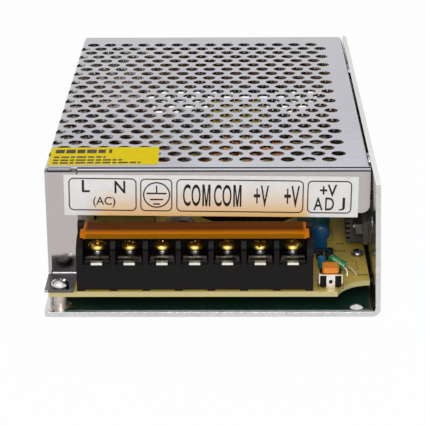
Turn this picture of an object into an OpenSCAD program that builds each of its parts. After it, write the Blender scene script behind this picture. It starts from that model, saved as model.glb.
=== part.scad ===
// Enclosed switching power supply in a bent aluminium chassis with a
// perforated steel cover. The terminals face -Y, the side wall stands at +X,
// and the origin is the middle of the underside. Millimetres.

/* [Chassis] */
// Outer width of the case
case_w = 98; // [96:1:110]
// Outer length of the case
case_l = 160; // [156:1:185]
// Outer height of the case
case_h = 41; // [40:0.5:48]
// Thickness of the aluminium sheet
base_t = 1.5; // [1.2:0.1:2]
// Outer radius of the chassis bend
bend_r = 2.5; // [2.2:0.1:3]
// Corner radius of the base in plan
plan_r = 1.5; // [0.5:0.1:3]
// Diameter of the corner mounting holes in the base
corner_hole_d = 3.9; // [3.2:0.1:4.2]
// Corner mounting hole centre, in from the front or rear edge
corner_hole_in = 3.2; // [3:0.1:4]
// Corner mounting hole centre, in from the wall's outer face
corner_hole_side = 6.8; // [6:0.1:8]
// Diameter of the mounting holes in the side wall
wall_hole_d = 4.1; // [3.2:0.1:4.5]
// Wall mounting holes, in from the front and rear edges
wall_hole_in = 13; // [10:0.5:18]
// Height of the wall mounting holes
wall_hole_z = 24.7; // [18:0.1:30]
// Lean of the side wall over the inside, in degrees
wall_lean = 1.5; // [0:0.1:2]

/* [Cover] */
// Thickness of the cover sheet
cover_t = 0.8; // [0.6:0.1:1]
// Outer radius of the cover's bends
cover_r = 1.3; // [1.2:0.1:2]
// Distance from the base's front edge back to the cover's front face
front_set = 14; // [13:0.5:16]
// Height of the folded front lip
lip_h = 14; // [10:0.5:15]
// Rounding of the lip's lower free corner
lip_r = 2.5; // [1:0.5:4]
// Width of the corner column beside the terminals
column_w = 9.5; // [9:0.1:11]
// Gap between the cover's right edge and the wall
side_gap = 1.3; // [1.2:0.1:2]
// Depth of the flange folded down beside the wall
side_flange_h = 8; // [7:0.5:10]
// Width of the foot flanges on the base
foot_w = 8; // [7:0.5:9]
// Diameter of the mesh holes
mesh_d = 4.3; // [3.5:0.1:4.6]
// Spacing of the mesh holes along a row
mesh_pitch = 6.1; // [5.8:0.1:7]
// Plain border between the front fold and the first row's centres
mesh_front = 7.7; // [6:0.1:9]
// Plain border from the cover's right edge to the first hole's centre
mesh_side = 11.7; // [8:0.1:14]

/* [Circuit board] */
// Thickness of the circuit board
pcb_t = 1.6; // [1.2:0.1:2]
// Height of the standoffs
standoff_h = 4; // [3.5:0.5:6]
// Outer diameter of the standoffs
standoff_d = 4; // [3.8:0.1:5]
// Board front edge behind the base's front edge
pcb_front = 2; // [1:0.5:3]
// Clearance between the board and the case walls
pcb_gap = 1; // [0.8:0.1:2]
// Radius of the board's corner notches
notch_r = 10.8; // [9:0.1:12]

/* [Terminal block] */
// Number of terminals
terminals = 7;
// Terminal pitch
term_pitch = 9.5; // [9.3:0.1:9.6]
// Thickness of the dividers
divider_t = 1.5; // [1.2:0.1:1.8]
// Thickness of the block's end walls
end_t = 1.9; // [1.9:0.1:2.3]
// Front face of the block behind the board's front edge
block_set = 0.6; // [0.2:0.1:1]
// Depth of the block from front to back
block_d = 13.9; // [13.5:0.1:16]
// Height of the solid front below the plates
sill_h = 8.2; // [7:0.1:10]
// Height of the back wall above the board
rear_h = 15.6; // [15.4:0.1:17]
// Screw axis behind the block's front face
screw_set = 5.8; // [5.6:0.1:6.2]
// Thickness of the terminal plates
plate_t = 0.7; // [0.5:0.1:0.9]
// Thickness of the clamp washers
washer_t = 0.8; // [0.6:0.1:1]
// Shank diameter of the terminal screws
screw_d = 3; // [2.6:0.1:3.2]
// Head diameter of the terminal screws
head_d = 5.4; // [5:0.1:6]
// Head height of the terminal screws
head_h = 2.2; // [1.8:0.1:2.4]
// Free height between washer and head
neck_h = 1.1; // [0.4:0.1:1.4]

/* [Terminal cover] */
// Wall of the clear terminal cover
flap_t = 0.8; // [0.6:0.1:1]
// Depth of the cover's front lip
flap_lip = 1.9; // [1.5:0.1:2.4]
// Radius of the hinge pins
pin_r = 0.7; // [0.5:0.05:0.8]
// Radial clearance of the hinge pins
pin_gap = 0.08; // [0.05:0.01:0.1]

/* [Power parts] */
// Diameter of the bulk capacitors
bulk_d = 20; // [16:1:21]
// Height of the bulk capacitors
bulk_h = 29; // [20:1:30]
// Diameter of the output capacitors
out_cap_d = 10; // [8:1:11]
// Height of the output capacitors
out_cap_h = 20; // [14:1:25]
// Width of the main transformer's core
core_w = 30; // [26:1:32]
// Length of the main transformer's core
core_l = 28; // [26:1:30]
// Outer diameter of the output choke's core
choke_d = 28; // [22:1:28]
// Turns on the output choke
choke_turns = 20; // [12:1:20]

/* [Hidden] */
$fn = 48;

// Fits that recur
fit_gap = 0.05;
seam_gap = 0.3;
top_notch_w = 2;
over = 1;

// Case levels and faces
in_x = case_w / 2 - base_t;
cover_x = in_x - side_gap;
left_x = -case_w / 2;
pcb_z = base_t + standoff_h;
top_z = pcb_z + pcb_t;
pcb_left = left_x + cover_t + pcb_gap / 2;
pcb_right = in_x - pcb_gap;
pcb_rear = case_l - cover_t - pcb_gap - foot_w / 2;

// Fastener sizes
m3_r = 1.45;
m3_hole_r = 1.6;
csk_r = 2.7;
csk_h = 1.2;
pan_r = 2.7;
pan_h = 1.9;
nut_af = 5.5;
nut_h = 2.2;

board_screw_r = 2.3;
board_screw_h = 1.8;
clinch = 0.4;

// Screw places: [distance in from the side, distance from the front]
left_in = 4.5;
screw_front = 4.6;
mount_left = left_x + left_in;
mount_right = in_x - 3.4;
rear_in = 10;
mid_y = 30;
tab_side = 0.9;
tab_front = 1.5;
film_t = 0.3;
film_in = 0.8;

// Terminal block levels and faces
bays_w = terminals * term_pitch - divider_t;
block_w = bays_w + 2 * end_t;
block_x = left_x + column_w + block_w / 2 + 0.1;
block_y = pcb_front + block_set;
sill_z = top_z + sill_h;
plate_z = sill_z + plate_t;
washer_z = plate_z + 0.2;
washer_top = washer_z + washer_t;
head_z = washer_top + neck_h;
screw_y = block_y + screw_set;
bay_d = 9;
rear_z = top_z + rear_h;
barrel_r = 1;
pivot_y = block_y + 9.4;
pivot_z = rear_z + 0.3 + barrel_r;
post_r = 1.7;
pin_l = 0.9;

// Front face label
lip = min(lip_h, case_h - rear_z - 4.2);
label_w = 86;
label_h = lip - 1.4;
label_t = 0.2;
label_tilt = 0.6;
label_drop = 0.9;

// Places of the inner parts: x from the left face, y from the base's front
x_cap_at = [23.2, 23.2];
fuse_at = [7.2, 38];
line_choke_at = [22, 41];
thermistor_at = [40, 29];
bridge_at = [10.5, 66];
bulk_at = [[15, 98], [15, 121]];
film_at = [26.5, 80];
driver_at = [40.4, 78.3];
trafo_at = [56.5, 104.5];
choke_at = [59.8, 73.5];
out_caps_at = [[80.5, 47], [80.5, 59], [80.5, 71]];
discs_at = [[81.8, 31], [36, case_l - 17]];
chip_at = [82.3, 98];
trimmer_at = [83.6, 7.6];
led_at = [88.2, 16];
devices_y = [54, 104, 122];
sink_y = 41;

function at_y(d) = d - case_l / 2;

// How far the leaning wall stands in at a height
function wall_shift(z) = (z - bend_r) * sin(wall_lean);

function px(i) = block_x + (i - (terminals + 1) / 2) * term_pitch;

module put(p, z = top_z) {
    translate([left_x + p[0], at_y(p[1]), z]) children();
}

// A strip bent through a right angle and more, its outer corner at the
// origin, legs running to -X and +Z
module elbow(t, r, more = 0) {
    translate([-r, r]) intersection() {
        difference() {
            circle(r = r);
            circle(r = r - t);
        }
        polygon([[0, 0], [0, -2 * r], [2 * r, -2 * r], [2 * r, 2 * r * tan(more)]]);
    }
}

// Leans what stands at the side wall, about the centre of the chassis bend
module lean() {
    translate([case_w / 2 - bend_r, 0, bend_r]) rotate([0, -wall_lean, 0])
        translate([bend_r - case_w / 2, 0, -bend_r]) children();
}

// Cuts a round hole through the side wall
module wall_hole(y, z, r) {
    lean() translate([in_x - over, at_y(y), z]) rotate([0, 90, 0])
        cylinder(r = r, h = base_t + 2 * over);
}

// Countersink with its wide mouth on the lower face z = 0
module countersink(gap) {
    translate([0, 0, -over]) cylinder(r = csk_r + gap, h = over + fit_gap);
    cylinder(r1 = csk_r + gap, r2 = m3_r + gap, h = csk_h);
    cylinder(r = m3_r + gap, h = base_t + over);
}

// Countersunk screw with a cross recess, pointing up, head flush with z = 0
module csk_screw(len) {
    difference() {
        union() {
            cylinder(r1 = csk_r, r2 = m3_r, h = csk_h);
            cylinder(r = m3_r, h = len);
        }
        cross_recess(2.4, 0.6, 0.8);
    }
}

// Cross recess cut upwards from z = 0
module cross_recess(size, width, depth) {
    translate([0, 0, depth / 2 - fit_gap]) {
        cube([size, width, depth + fit_gap], center = true);
        cube([width, size, depth + fit_gap], center = true);
    }
}

// Pan head screw pointing down, underside of the head at z = 0
module pan_screw(r, h, shank_r, len) {
    difference() {
        union() {
            rotate_extrude() polygon([[0, 0], [r, 0], [r, h * 0.45],
                [r * 0.86, h * 0.8], [r * 0.55, h], [0, h]]);
            translate([0, 0, -len]) cylinder(r = shank_r, h = len + fit_gap);
        }
        translate([0, 0, h]) mirror([0, 0, 1]) cross_recess(r * 1.25, 0.75, h * 0.55);
    }
}

// Chassis: base and one long wall bent from a single aluminium sheet
foot_holes = [38, case_l - 38];
flange_holes = [32, case_l - 32];
flange_hole_z = case_h - side_flange_h / 2 - 0.5;
sink_hole = [32.9, 15.5];
bend_step = 0.02;
wall_leg = (case_h - bend_r - bend_r * sin(wall_lean)) / cos(wall_lean);

module chassis() {
    color("silver") difference() {
        union() {
            intersection() {
                translate([left_x, at_y(0), 0]) cube([case_w - bend_r, case_l, base_t]);
                plan_outline();
            }
            translate([0, at_y(case_l), 0]) rotate([90, 0, 0]) linear_extrude(case_l)
                translate([case_w / 2, 0]) elbow(base_t, bend_r, wall_lean);
            lean() translate([in_x + bend_step, at_y(0), bend_r - bend_step])
                cube([base_t - 2 * bend_step, case_l, wall_leg + bend_step]);
        }
        for (y = [corner_hole_in, case_l - corner_hole_in])
            translate([case_w / 2 - corner_hole_side, at_y(y), -over])
                cylinder(d = corner_hole_d, h = base_t + 2 * over);
        for (y = [wall_hole_in, case_l - wall_hole_in])
            wall_hole(y, wall_hole_z, wall_hole_d / 2);
        for (p = standoff_places())
            translate([p[0], at_y(p[1]), -over])
                cylinder(r = standoff_d / 2 - clinch + fit_gap, h = base_t + 2 * over);
        for (y = foot_holes)
            translate([left_x + foot_in, at_y(y), 0]) countersink(fit_gap);
        translate([0, at_y(case_l - foot_in), 0]) countersink(fit_gap);
        for (y = flange_holes) side_screw_place(y, flange_hole_z) countersink(fit_gap);
        side_screw_place(sink_hole[0], sink_hole[1]) countersink(fit_gap);
        for (y = bar_y()) side_screw_place(y, bar_z) countersink(fit_gap);
    }
}

// Base outline with rounded free corners
module plan_outline() {
    translate([left_x, at_y(0), 0]) {
        translate([plan_r, 0, 0]) cube([case_w, case_l, base_t]);
        translate([0, plan_r, 0]) cube([case_w, case_l - 2 * plan_r, base_t]);
        for (y = [plan_r, case_l - plan_r])
            translate([plan_r, y, 0]) cylinder(r = plan_r, h = base_t);
    }
}

// Puts children, drawn pointing up from z = 0, into the side wall from outside
module side_screw_place(y, z) {
    lean() translate([case_w / 2, at_y(y), z]) rotate([0, -90, 0]) children();
}

foot_in = cover_t + foot_w / 2;

function standoff_places() = [[mount_left, screw_front], [mount_right, mid_y],
    [mount_left, case_l - rear_in], [mount_right, case_l - rear_in]];

// Cover: perforated sheet over the top, left side and rear, with a front lip,
// a corner column and a foot tab
top_z0 = case_h - cover_t;
row_step = mesh_pitch * sin(60);
mesh_end = 7;
wall_mesh_top = 7.4;
wall_mesh_foot = 8.6;
rear_rows = 2;
top_rows = floor((case_l - mesh_end - front_set - mesh_front) / row_step);
top_cols = ceil((cover_x - mesh_side - left_x) / mesh_pitch);
side_rows = 1 + floor((case_h - wall_mesh_top - wall_mesh_foot) / row_step);

function hole_x(i, j) = cover_x - mesh_side - i * mesh_pitch
    + (j % 2 == 1 ? mesh_pitch / 2 : 0);
function hole_y(j) = at_y(front_set + mesh_front) + j * row_step;

function on_fold(x) = x > left_x - mesh_d / 4 && x < left_x + cover_r + mesh_d / 2;

// Top mesh centres, out to the left fold
module mesh_top() {
    for (j = [0:top_rows])
        for (i = [0:top_cols + 1])
            if (hole_x(i, j) > left_x + cover_r - mesh_d / 2)
                translate([hole_x(i, j), hole_y(j)]) circle(d = mesh_d, $fn = 32);
}

// Side and rear mesh: rows from one to another, counted down from the fold
module mesh_wall(length, first, row_a) {
    cols = floor((length - 2 * first) / mesh_pitch);
    for (j = [row_a:side_rows - 1])
        for (i = [0:cols])
            translate([first + (i + (j % 2) / 2) * mesh_pitch, -j * row_step])
                circle(d = mesh_d, $fn = 32);
}

module cover() {
    color("lightsteelblue") {
        cover_top();
        cover_side();
        cover_lip();
        cover_column();
        cover_rear();
        cover_flange();
    }
}

module cover_top() {
    top_a = front_set + cover_r;
    translate([0, 0, top_z0]) linear_extrude(cover_t) difference() {
        translate([left_x + cover_r, at_y(top_a)])
            square([cover_x - left_x - 2 * cover_r, case_l - top_a - cover_r]);
        mesh_top();
    }
    // flat tongue over the column, cut off from the front fold by a notch
    translate([left_x + cover_r, at_y(front_set), top_z0])
        cube([column_w + seam_gap - top_notch_w - cover_r, cover_r + fit_gap, cover_t]);
    // bend into the left side, scalloped where the mesh runs over it
    difference() {
        translate([0, at_y(case_l - cover_r), 0]) rotate([90, 0, 0])
            linear_extrude(case_l - top_a - cover_r)
                translate([left_x, case_h]) rotate(180) elbow(cover_t, cover_r);
        for (j = [0:top_rows])
            for (i = [top_cols - 2:top_cols + 1])
                if (on_fold(hole_x(i, j)))
                    translate([hole_x(i, j), hole_y(j), top_z0 - cover_r])
                        cylinder(d = mesh_d, h = 3 * cover_r);
    }
    // bend into the flange beside the wall
    translate([0, at_y(case_l - cover_r), 0]) rotate([90, 0, 0])
        linear_extrude(case_l - top_a - cover_r)
            translate([cover_x, case_h]) mirror([0, 1]) elbow(cover_t, cover_r);
}

module cover_side() {
    side_a = front_set + cover_r;
    wall_z = base_t + cover_r;
    translate([left_x, 0, 0]) rotate([90, 0, 90]) linear_extrude(cover_t) difference() {
        translate([at_y(side_a), wall_z])
            square([case_l - side_a - cover_r, case_h - cover_r - wall_z]);
        translate([at_y(side_a), case_h - wall_mesh_top])
            mesh_wall(case_l - side_a, mesh_end, 0);
    }
    // bend and foot flange on the base
    translate([0, at_y(case_l - rear_in - 6), 0]) rotate([90, 0, 0])
        linear_extrude(case_l - rear_in - side_a - 6)
            translate([left_x, base_t]) mirror([1, 0]) elbow(cover_t, cover_r);
    difference() {
        translate([left_x + cover_r, at_y(side_a), base_t])
            cube([foot_w - cover_r + cover_t, case_l - rear_in - side_a - 6, cover_t]);
        for (y = foot_holes)
            translate([left_x + foot_in, at_y(y), 0])
                cylinder(r = m3_r + fit_gap, h = 3 * base_t);
    }
}

// Front lip folded down from the top, notched beside the column
module cover_lip() {
    lip_left = left_x + column_w + seam_gap;
    lip_w = cover_x - lip_left;
    translate([lip_left, at_y(front_set), 0]) rotate([90, 0, 90]) linear_extrude(lip_w - cover_r)
        translate([0, case_h]) rotate(180) elbow(cover_t, cover_r);
    translate([cover_x - cover_r, at_y(front_set), 0]) rotate([90, 0, 90])
        linear_extrude(cover_r) translate([0, case_h]) rotate(180) elbow(cover_t, cover_r);
    translate([0, at_y(front_set) + cover_t, 0]) rotate([90, 0, 0]) linear_extrude(cover_t) {
        translate([lip_left, case_h - lip + lip_r])
            square([lip_w, lip - lip_r - cover_r]);
        translate([lip_left, case_h - lip]) square([lip_w - lip_r, lip_r + fit_gap]);
        translate([cover_x - lip_r, case_h - lip + lip_r]) circle(r = lip_r);
    }
    // strip of the top between the lip's bend and the side bend
    translate([left_x + cover_r, at_y(front_set + cover_r) - fit_gap, top_z0])
        cube([cover_x - left_x - 2 * cover_r, 2 * fit_gap, cover_t]);
}

// Corner column turned in from the left side, with the foot tab at its base
module cover_column() {
    tab_z = top_z;
    column_z = tab_z + cover_r;
    column_top = top_z0 - seam_gap / 2;
    // vertical bend at the corner
    translate([0, 0, column_z]) linear_extrude(column_top - column_z)
        translate([left_x, at_y(front_set)]) mirror([1, 0]) elbow(cover_t, cover_r);
    translate([left_x + cover_r, at_y(front_set), column_z])
        cube([column_w - cover_r, cover_t, column_top - column_z]);
    // side strip down from the vertical bend to the base
    translate([left_x, at_y(front_set + cover_r), base_t + cover_r])
        cube([cover_t, fit_gap, case_h - 2 * cover_r - base_t]);
    // bend forward into the tab
    translate([left_x + cover_r, at_y(front_set) + cover_t, 0]) rotate([90, 0, 90])
        linear_extrude(column_w - cover_r - tab_side)
            translate([0, tab_z]) elbow(cover_t, cover_r);
    difference() {
        translate([left_x + 0.2, at_y(tab_front), tab_z])
            cube([column_w - 0.2 - tab_side, front_set + cover_t - cover_r - tab_front, cover_t]);
        translate([mount_left, at_y(screw_front), tab_z - over])
            cylinder(r = m3_hole_r, h = cover_t + 2 * over);
    }
}

// Rear panel with a foot flange on the base
module cover_rear() {
    panel_w = cover_x - left_x;
    panel_z = base_t + cover_r;
    translate([0, at_y(case_l), 0]) rotate([90, 0, 0]) linear_extrude(cover_t) difference() {
        translate([left_x, panel_z]) square([panel_w, case_h - cover_r - panel_z]);
        translate([left_x, case_h - wall_mesh_top])
            mesh_wall(panel_w - mesh_pitch / 2, mesh_end + 1, side_rows - rear_rows);
    }
    translate([left_x + cover_r, at_y(case_l), 0]) rotate([90, 0, 90])
        linear_extrude(panel_w - 2 * cover_r)
            translate([0, case_h]) mirror([0, 1]) elbow(cover_t, cover_r);
    rear_foot = 40;
    translate([-rear_foot / 2, at_y(case_l), 0]) rotate([90, 0, 90])
        linear_extrude(rear_foot) translate([0, base_t]) elbow(cover_t, cover_r);
    difference() {
        translate([-rear_foot / 2, at_y(case_l) - foot_w - cover_t, base_t])
            cube([rear_foot, foot_w + cover_t - cover_r, cover_t]);
        translate([0, at_y(case_l - foot_in), 0])
            cylinder(r = m3_r + fit_gap, h = 3 * base_t);
    }
}

// Flange beside the chassis wall, with raised seats at its screws
module cover_flange() {
    flange_a = front_set + cover_t + 2;
    seat_r = 2.8;
    seat_x = cover_x - cover_t / 2 + wall_shift(flange_hole_z);
    difference() {
        union() {
            translate([cover_x - cover_t, at_y(flange_a), case_h - side_flange_h])
                cube([cover_t, case_l - flange_a - cover_r, side_flange_h - cover_r]);
            for (y = flange_holes) lean()
                translate([seat_x, at_y(y), flange_hole_z]) rotate([0, 90, 0])
                    cylinder(r = seat_r, h = in_x - seat_x);
        }
        for (y = flange_holes) lean()
            translate([seat_x - 2 * over, at_y(y), flange_hole_z]) rotate([0, 90, 0])
                cylinder(r = m3_r + fit_gap, h = in_x - seat_x + 3 * over);
    }
}

// Insulating film laid on the base under the board
module insulation_sheet() {
    film_x = left_x + foot_w + cover_t + 1;
    film_r = case_w / 2 - bend_r - fit_gap;
    color([0.05, 0.13, 0.11]) translate([0, 0, base_t]) linear_extrude(film_t) difference() {
        union() {
            translate([film_x, at_y(film_in)])
                square([film_r - film_x, case_l - 2 * foot_w - 3 * film_in]);
            translate([film_x - 4, at_y(film_in)]) square([5, front_set - film_in]);
        }
        translate([case_w / 2 - corner_hole_side, at_y(corner_hole_in)])
            circle(r = corner_hole_d / 2 + seam_gap);
        for (p = standoff_places())
            translate([p[0], at_y(p[1])]) circle(r = standoff_d / 2 + 1.2);
    }
}

module pcb() {
    color([0.72, 0.62, 0.36]) translate([0, 0, pcb_z]) linear_extrude(pcb_t) difference() {
        translate([pcb_left, at_y(pcb_front)])
            square([pcb_right - pcb_left, pcb_rear - pcb_front]);
        for (y = [-0.6, case_l + 0.6])
            translate([case_w / 2 - 2, at_y(y)]) circle(r = notch_r);
        for (p = standoff_places()) translate([p[0], at_y(p[1])]) circle(r = m3_hole_r);
    }
}

// Clinched standoffs with a foot flange, tapped through
module standoffs() {
    shank_r = standoff_d / 2;
    color("gainsboro") for (p = standoff_places()) translate([p[0], at_y(p[1]), 0])
        difference() {
            union() {
                cylinder(r = shank_r - clinch, h = base_t + fit_gap);
                translate([0, 0, base_t]) cylinder(r = shank_r, h = standoff_h);
                translate([0, 0, base_t]) cylinder(r = shank_r + clinch, h = 0.5);
            }
            translate([0, 0, -over]) cylinder(r = m3_r + fit_gap, h = pcb_z + 2 * over);
        }
}

module pcb_screws() {
    color("silver") for (i = [1:3]) {
        p = standoff_places()[i];
        translate([p[0], at_y(p[1]), top_z])
            pan_screw(board_screw_r, board_screw_h, m3_r, pcb_t + 3);
    }
}

module tab_screw() {
    color("silver") translate([mount_left, at_y(screw_front), top_z + cover_t])
        pan_screw(pan_r, pan_h, m3_r, pcb_t + cover_t + 3);
}

module cover_screws() {
    color("silver") {
        for (y = foot_holes) translate([left_x + foot_in, at_y(y), 0])
            csk_screw(base_t + cover_t + 1);
        translate([0, at_y(case_l - foot_in), 0]) csk_screw(base_t + cover_t + 1);
        for (y = flange_holes) side_screw_place(y, flange_hole_z)
            csk_screw(base_t + side_gap - wall_shift(flange_hole_z) + cover_t + 1);
    }
}

// Terminal block: sill, back wall, dividers and end walls moulded in one
module terminal_block() {
    bay_w = term_pitch - divider_t;
    color([0.1, 0.09, 0.09]) difference() {
        union() {
            translate([block_x - block_w / 2, at_y(block_y), top_z])
                cube([block_w, block_d, sill_h]);
            translate([block_x - block_w / 2, at_y(block_y + bay_d), top_z])
                cube([block_w, block_d - bay_d, rear_h]);
            for (i = [1:terminals - 1])
                translate([px(i) + term_pitch / 2 - divider_t / 2, at_y(block_y), 0])
                    divider_plate(divider_t);
            for (s = [-1, 1])
                translate([block_x + s * (bays_w + end_t) / 2 - end_t / 2, at_y(block_y), 0])
                    end_plate();
        }
        for (i = [1:terminals]) {
            translate([px(i), at_y(screw_y), top_z + 1])
                cylinder(r = screw_d / 2 + 0.5, h = sill_h);
            translate([px(i) - bay_w / 2 + 0.4, at_y(block_y) - over, top_z - over])
                cube([bay_w - 0.8, over + 1.2, over + 0.6]);
        }
        for (s = [-1, 1])
            translate([block_x + s * (bays_w / 2 - fit_gap), at_y(pivot_y), pivot_z])
                rotate([0, s * 90, 0]) cylinder(r = pin_r + pin_gap, h = pin_l + 0.2);
    }
}

// Divider between bays: low nose at the front, a step, then the full height
module divider_plate(t) {
    rotate([90, 0, 90]) linear_extrude(t) polygon([[0, top_z + sill_h - over],
        [0, top_z + 12.4], [1.2, top_z + 12.8], [2.4, rear_z - 0.8],
        [bay_d + over, rear_z - 0.8], [bay_d + over, top_z + sill_h - over]]);
}

// End wall with a round-topped post that carries the hinge pin
module end_plate() {
    nose = top_z + 13;
    rotate([90, 0, 90]) linear_extrude(end_t) {
        polygon([[0, top_z + sill_h - over], [0, nose - 2], [0.5, nose],
            [4, rear_z - 0.6], [bay_d + over, rear_z], [bay_d + over, top_z + sill_h - over]]);
        translate([pivot_y - block_y, pivot_z]) circle(r = post_r);
        translate([pivot_y - block_y - post_r, rear_z - 2])
            square([2 * post_r, pivot_z - rear_z + 2]);
    }
}

module terminal_plates() {
    tongue = 3.2;
    plate_w = term_pitch - divider_t - 0.7;
    color("gainsboro") for (i = [1:terminals])
        translate([px(i), at_y(block_y), sill_z]) difference() {
            union() {
                translate([-tongue / 2, -0.1, 0]) cube([tongue, 3, plate_t]);
                translate([-plate_w / 2, 1.8, 0])
                    cube([plate_w, bay_d - 1.8 - fit_gap, plate_t]);
            }
            translate([0, screw_set, -over])
                cylinder(r = screw_d / 2 + fit_gap, h = plate_t + 2 * over);
        }
}

// Square clamp washer with its side edges turned down a little
module clamp_washer(i) {
    size = 6.8;
    lip = 0.15;
    color("silver") translate([px(i), at_y(screw_y), washer_z]) difference() {
        union() {
            translate([-size / 2, -size / 2 + 0.4, 0]) cube([size, size - 0.8, washer_t]);
            for (s = [-1, 1])
                translate([s * (size / 2 - 0.4) - 0.4, -size / 2 + 0.4, -lip])
                    cube([0.8, size - 0.8, washer_t]);
        }
        translate([0, 0, -over])
            cylinder(r = screw_d / 2 + 0.1, h = washer_t + 2 * over);
    }
}

module terminal_screw(i) {
    color([0.8, 0.66, 0.3]) translate([px(i), at_y(screw_y), head_z]) difference() {
        pan_screw(head_d / 2, head_h, screw_d / 2, head_z - sill_z + 5.5);
        translate([0, 0, head_h]) cube([head_d, 0.8, 1], center = true);
    }
}

// Clear cover over the terminals: panel, front lip and end pins
module terminal_cover() {
    flap_w = bays_w - 0.4;
    top = pivot_z + barrel_r;
    lip_y = block_y + 1;
    color([0.85, 0.4, 0.05, 0.8]) {
        translate([block_x - flap_w / 2, at_y(lip_y), top - flap_t])
            cube([flap_w, pivot_y - lip_y, flap_t]);
        translate([block_x - flap_w / 2, at_y(lip_y), top - flap_lip])
            cube([flap_w, flap_t, flap_lip]);
        translate([block_x - flap_w / 2, at_y(pivot_y), pivot_z]) rotate([0, 90, 0])
            cylinder(r = barrel_r, h = flap_w);
        translate([block_x - bays_w / 2 - pin_l, at_y(pivot_y), pivot_z]) rotate([0, 90, 0])
            cylinder(r = pin_r, h = bays_w + 2 * pin_l);
        for (s = [-1, 1])
            translate([block_x + s * (bays_w + 0.4) / 2 - 0.4, at_y(lip_y), top - flap_lip + 0.3])
                cube([0.8, 3, flap_lip - 0.3]);
    }
}

// Trimmer: moulded body, metal bracket with a square window, top rotor
trim_w = 6.2;
trim_d = 5.6;
trim_h = 3.9;
bracket_t = 0.3;
knob_w = 4.8;
knob_d = 4.6;
knob_h = 1.6;
knob_edge = 0.5;

module trimmer_body() {
    color([0.12, 0.12, 0.14]) put(trimmer_at) difference() {
        union() {
            translate([-trim_w / 2, -trim_d / 2, 0.4]) cube([trim_w, trim_d, trim_h - 0.4]);
            for (s = [-1, 1])
                translate([s * (trim_w / 2 - 0.8) - 0.4, -trim_d / 2, 0]) cube([0.8, trim_d, 0.8]);
        }
        translate([0, 0, trim_h - 1]) cylinder(r = 0.9 + pin_gap, h = 2);
    }
}

module trimmer_bracket() {
    plate_y = -trim_d / 2 - bracket_t - fit_gap;
    color("gainsboro") put(trimmer_at) difference() {
        union() {
            translate([-1.25, plate_y, 0]) cube([2.5, bracket_t, trim_h + fit_gap]);
            for (s = [-1, 1])
                translate([s * (trim_w / 2 + fit_gap + bracket_t / 2) - bracket_t / 2,
                    plate_y, trim_h - 2.4]) cube([bracket_t, 3, 2.4 + fit_gap]);
            translate([-trim_w / 2 - bracket_t - fit_gap, plate_y, trim_h + fit_gap])
                cube([trim_w + 2 * bracket_t + 2 * fit_gap, 1.1, bracket_t]);
        }
        translate([-0.5, plate_y - over, 1.5]) cube([1, bracket_t + 2 * over, 1.1]);
    }
}

module trimmer_rotor() {
    color([0.85, 0.45, 0.08]) put(trimmer_at, top_z + trim_h) difference() {
        union() {
            translate([0, 0, -0.8]) cylinder(r = 0.9, h = 1.5);
            translate([0, 0, 0.1]) cylinder(r = 1.8, h = 0.6);
            translate([0, 0, 0.5]) linear_extrude(knob_h) knob_outline();
        }
        translate([0, 0, 0.5 + knob_h]) {
            cube([2.8, 0.7, 1.2], center = true);
            cube([0.7, 2.8, 1.2], center = true);
        }
    }
}

// Rectangle with its corners cut off
module knob_outline() {
    a = knob_w / 2;
    b = knob_d / 2;
    polygon([[-a + knob_edge, -b], [a - knob_edge, -b], [a, -b + knob_edge],
        [a, b - knob_edge], [a - knob_edge, b], [-a + knob_edge, b],
        [-a, b - knob_edge], [-a, -b + knob_edge]]);
}

// Indicator lamp leaning back on its leads
led_lean = 62;
led_turn = 70;

module status_led() {
    color([0.1, 0.5, 0.2]) put(led_at, top_z + 2) rotate([0, 0, led_turn]) {
        rotate([-led_lean, 0, 0]) {
            cylinder(r = 1.6, h = 0.8);
            cylinder(r = 1.45, h = 4);
            translate([0, 0, 4]) sphere(r = 1.45);
        }
        for (s = [-1, 1]) translate([s * 0.9, -0.2, -2]) cylinder(r = 0.25, h = 2.4);
    }
}

// Box capacitor on end, edges eased
module box_capacitor(w, d, h) {
    edge = 0.6;
    linear_extrude(h - edge) square([w, d], center = true);
    translate([0, 0, h - edge]) linear_extrude(edge)
        square([w - edge, d - edge], center = true);
}

module x_capacitor() {
    color([0.7, 0.6, 0.15]) put(x_cap_at) box_capacitor(17, 8, 17.6);
}

module fuse() {
    r = 2.5;
    color("whitesmoke") put(fuse_at, top_z + 1 + r) rotate([90, 0, 0]) {
        translate([0, 0, -5]) cylinder(r = r - 0.15, h = 10);
        for (s = [-1, 1]) translate([0, 0, s * 7.5 - 2.5]) cylinder(r = r, h = 5);
    }
}

module fuse_clips() {
    color("silver") put(fuse_at) for (s = [-1, 1]) translate([0, s * 7.5, 0]) {
        translate([-3.4, -2, 0]) cube([6.8, 4, 0.5]);
        for (q = [-1, 1])
            translate([q * 2.95 - 0.25, -2, 0]) cube([0.5, 4, 5.2]);
        translate([-1.5, -2, 0.4]) cube([3, 4, 0.6]);
    }
}

// Ring core with flat faces, axis along X
module ring_core(r_out, r_in, w) {
    rotate([0, 90, 0]) rotate_extrude() polygon([[r_in, -w / 2 + 0.5],
        [r_in + 0.5, -w / 2], [r_out - 0.5, -w / 2], [r_out, -w / 2 + 0.5],
        [r_out, w / 2 - 0.5], [r_out - 0.5, w / 2], [r_in + 0.5, w / 2],
        [r_in, w / 2 - 0.5]]);
}

// Turns wrapped round a ring core, from angle a to b
module ring_winding(r_out, r_in, w, wire, turns, a, b) {
    gap = 0.1;
    for (i = [0:turns - 1])
        rotate([a + (b - a) * i / (turns - 1), 0, 0])
            translate([0, wire / 2, 0]) rotate([90, 0, 0]) linear_extrude(wire) difference() {
                translate([-w / 2 - gap - wire, r_in - gap - wire])
                    square([w + 2 * (gap + wire), r_out - r_in + 2 * (gap + wire)]);
                translate([-w / 2 - gap, r_in - gap])
                    square([w + 2 * gap, r_out - r_in + 2 * gap]);
            }
}

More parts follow.
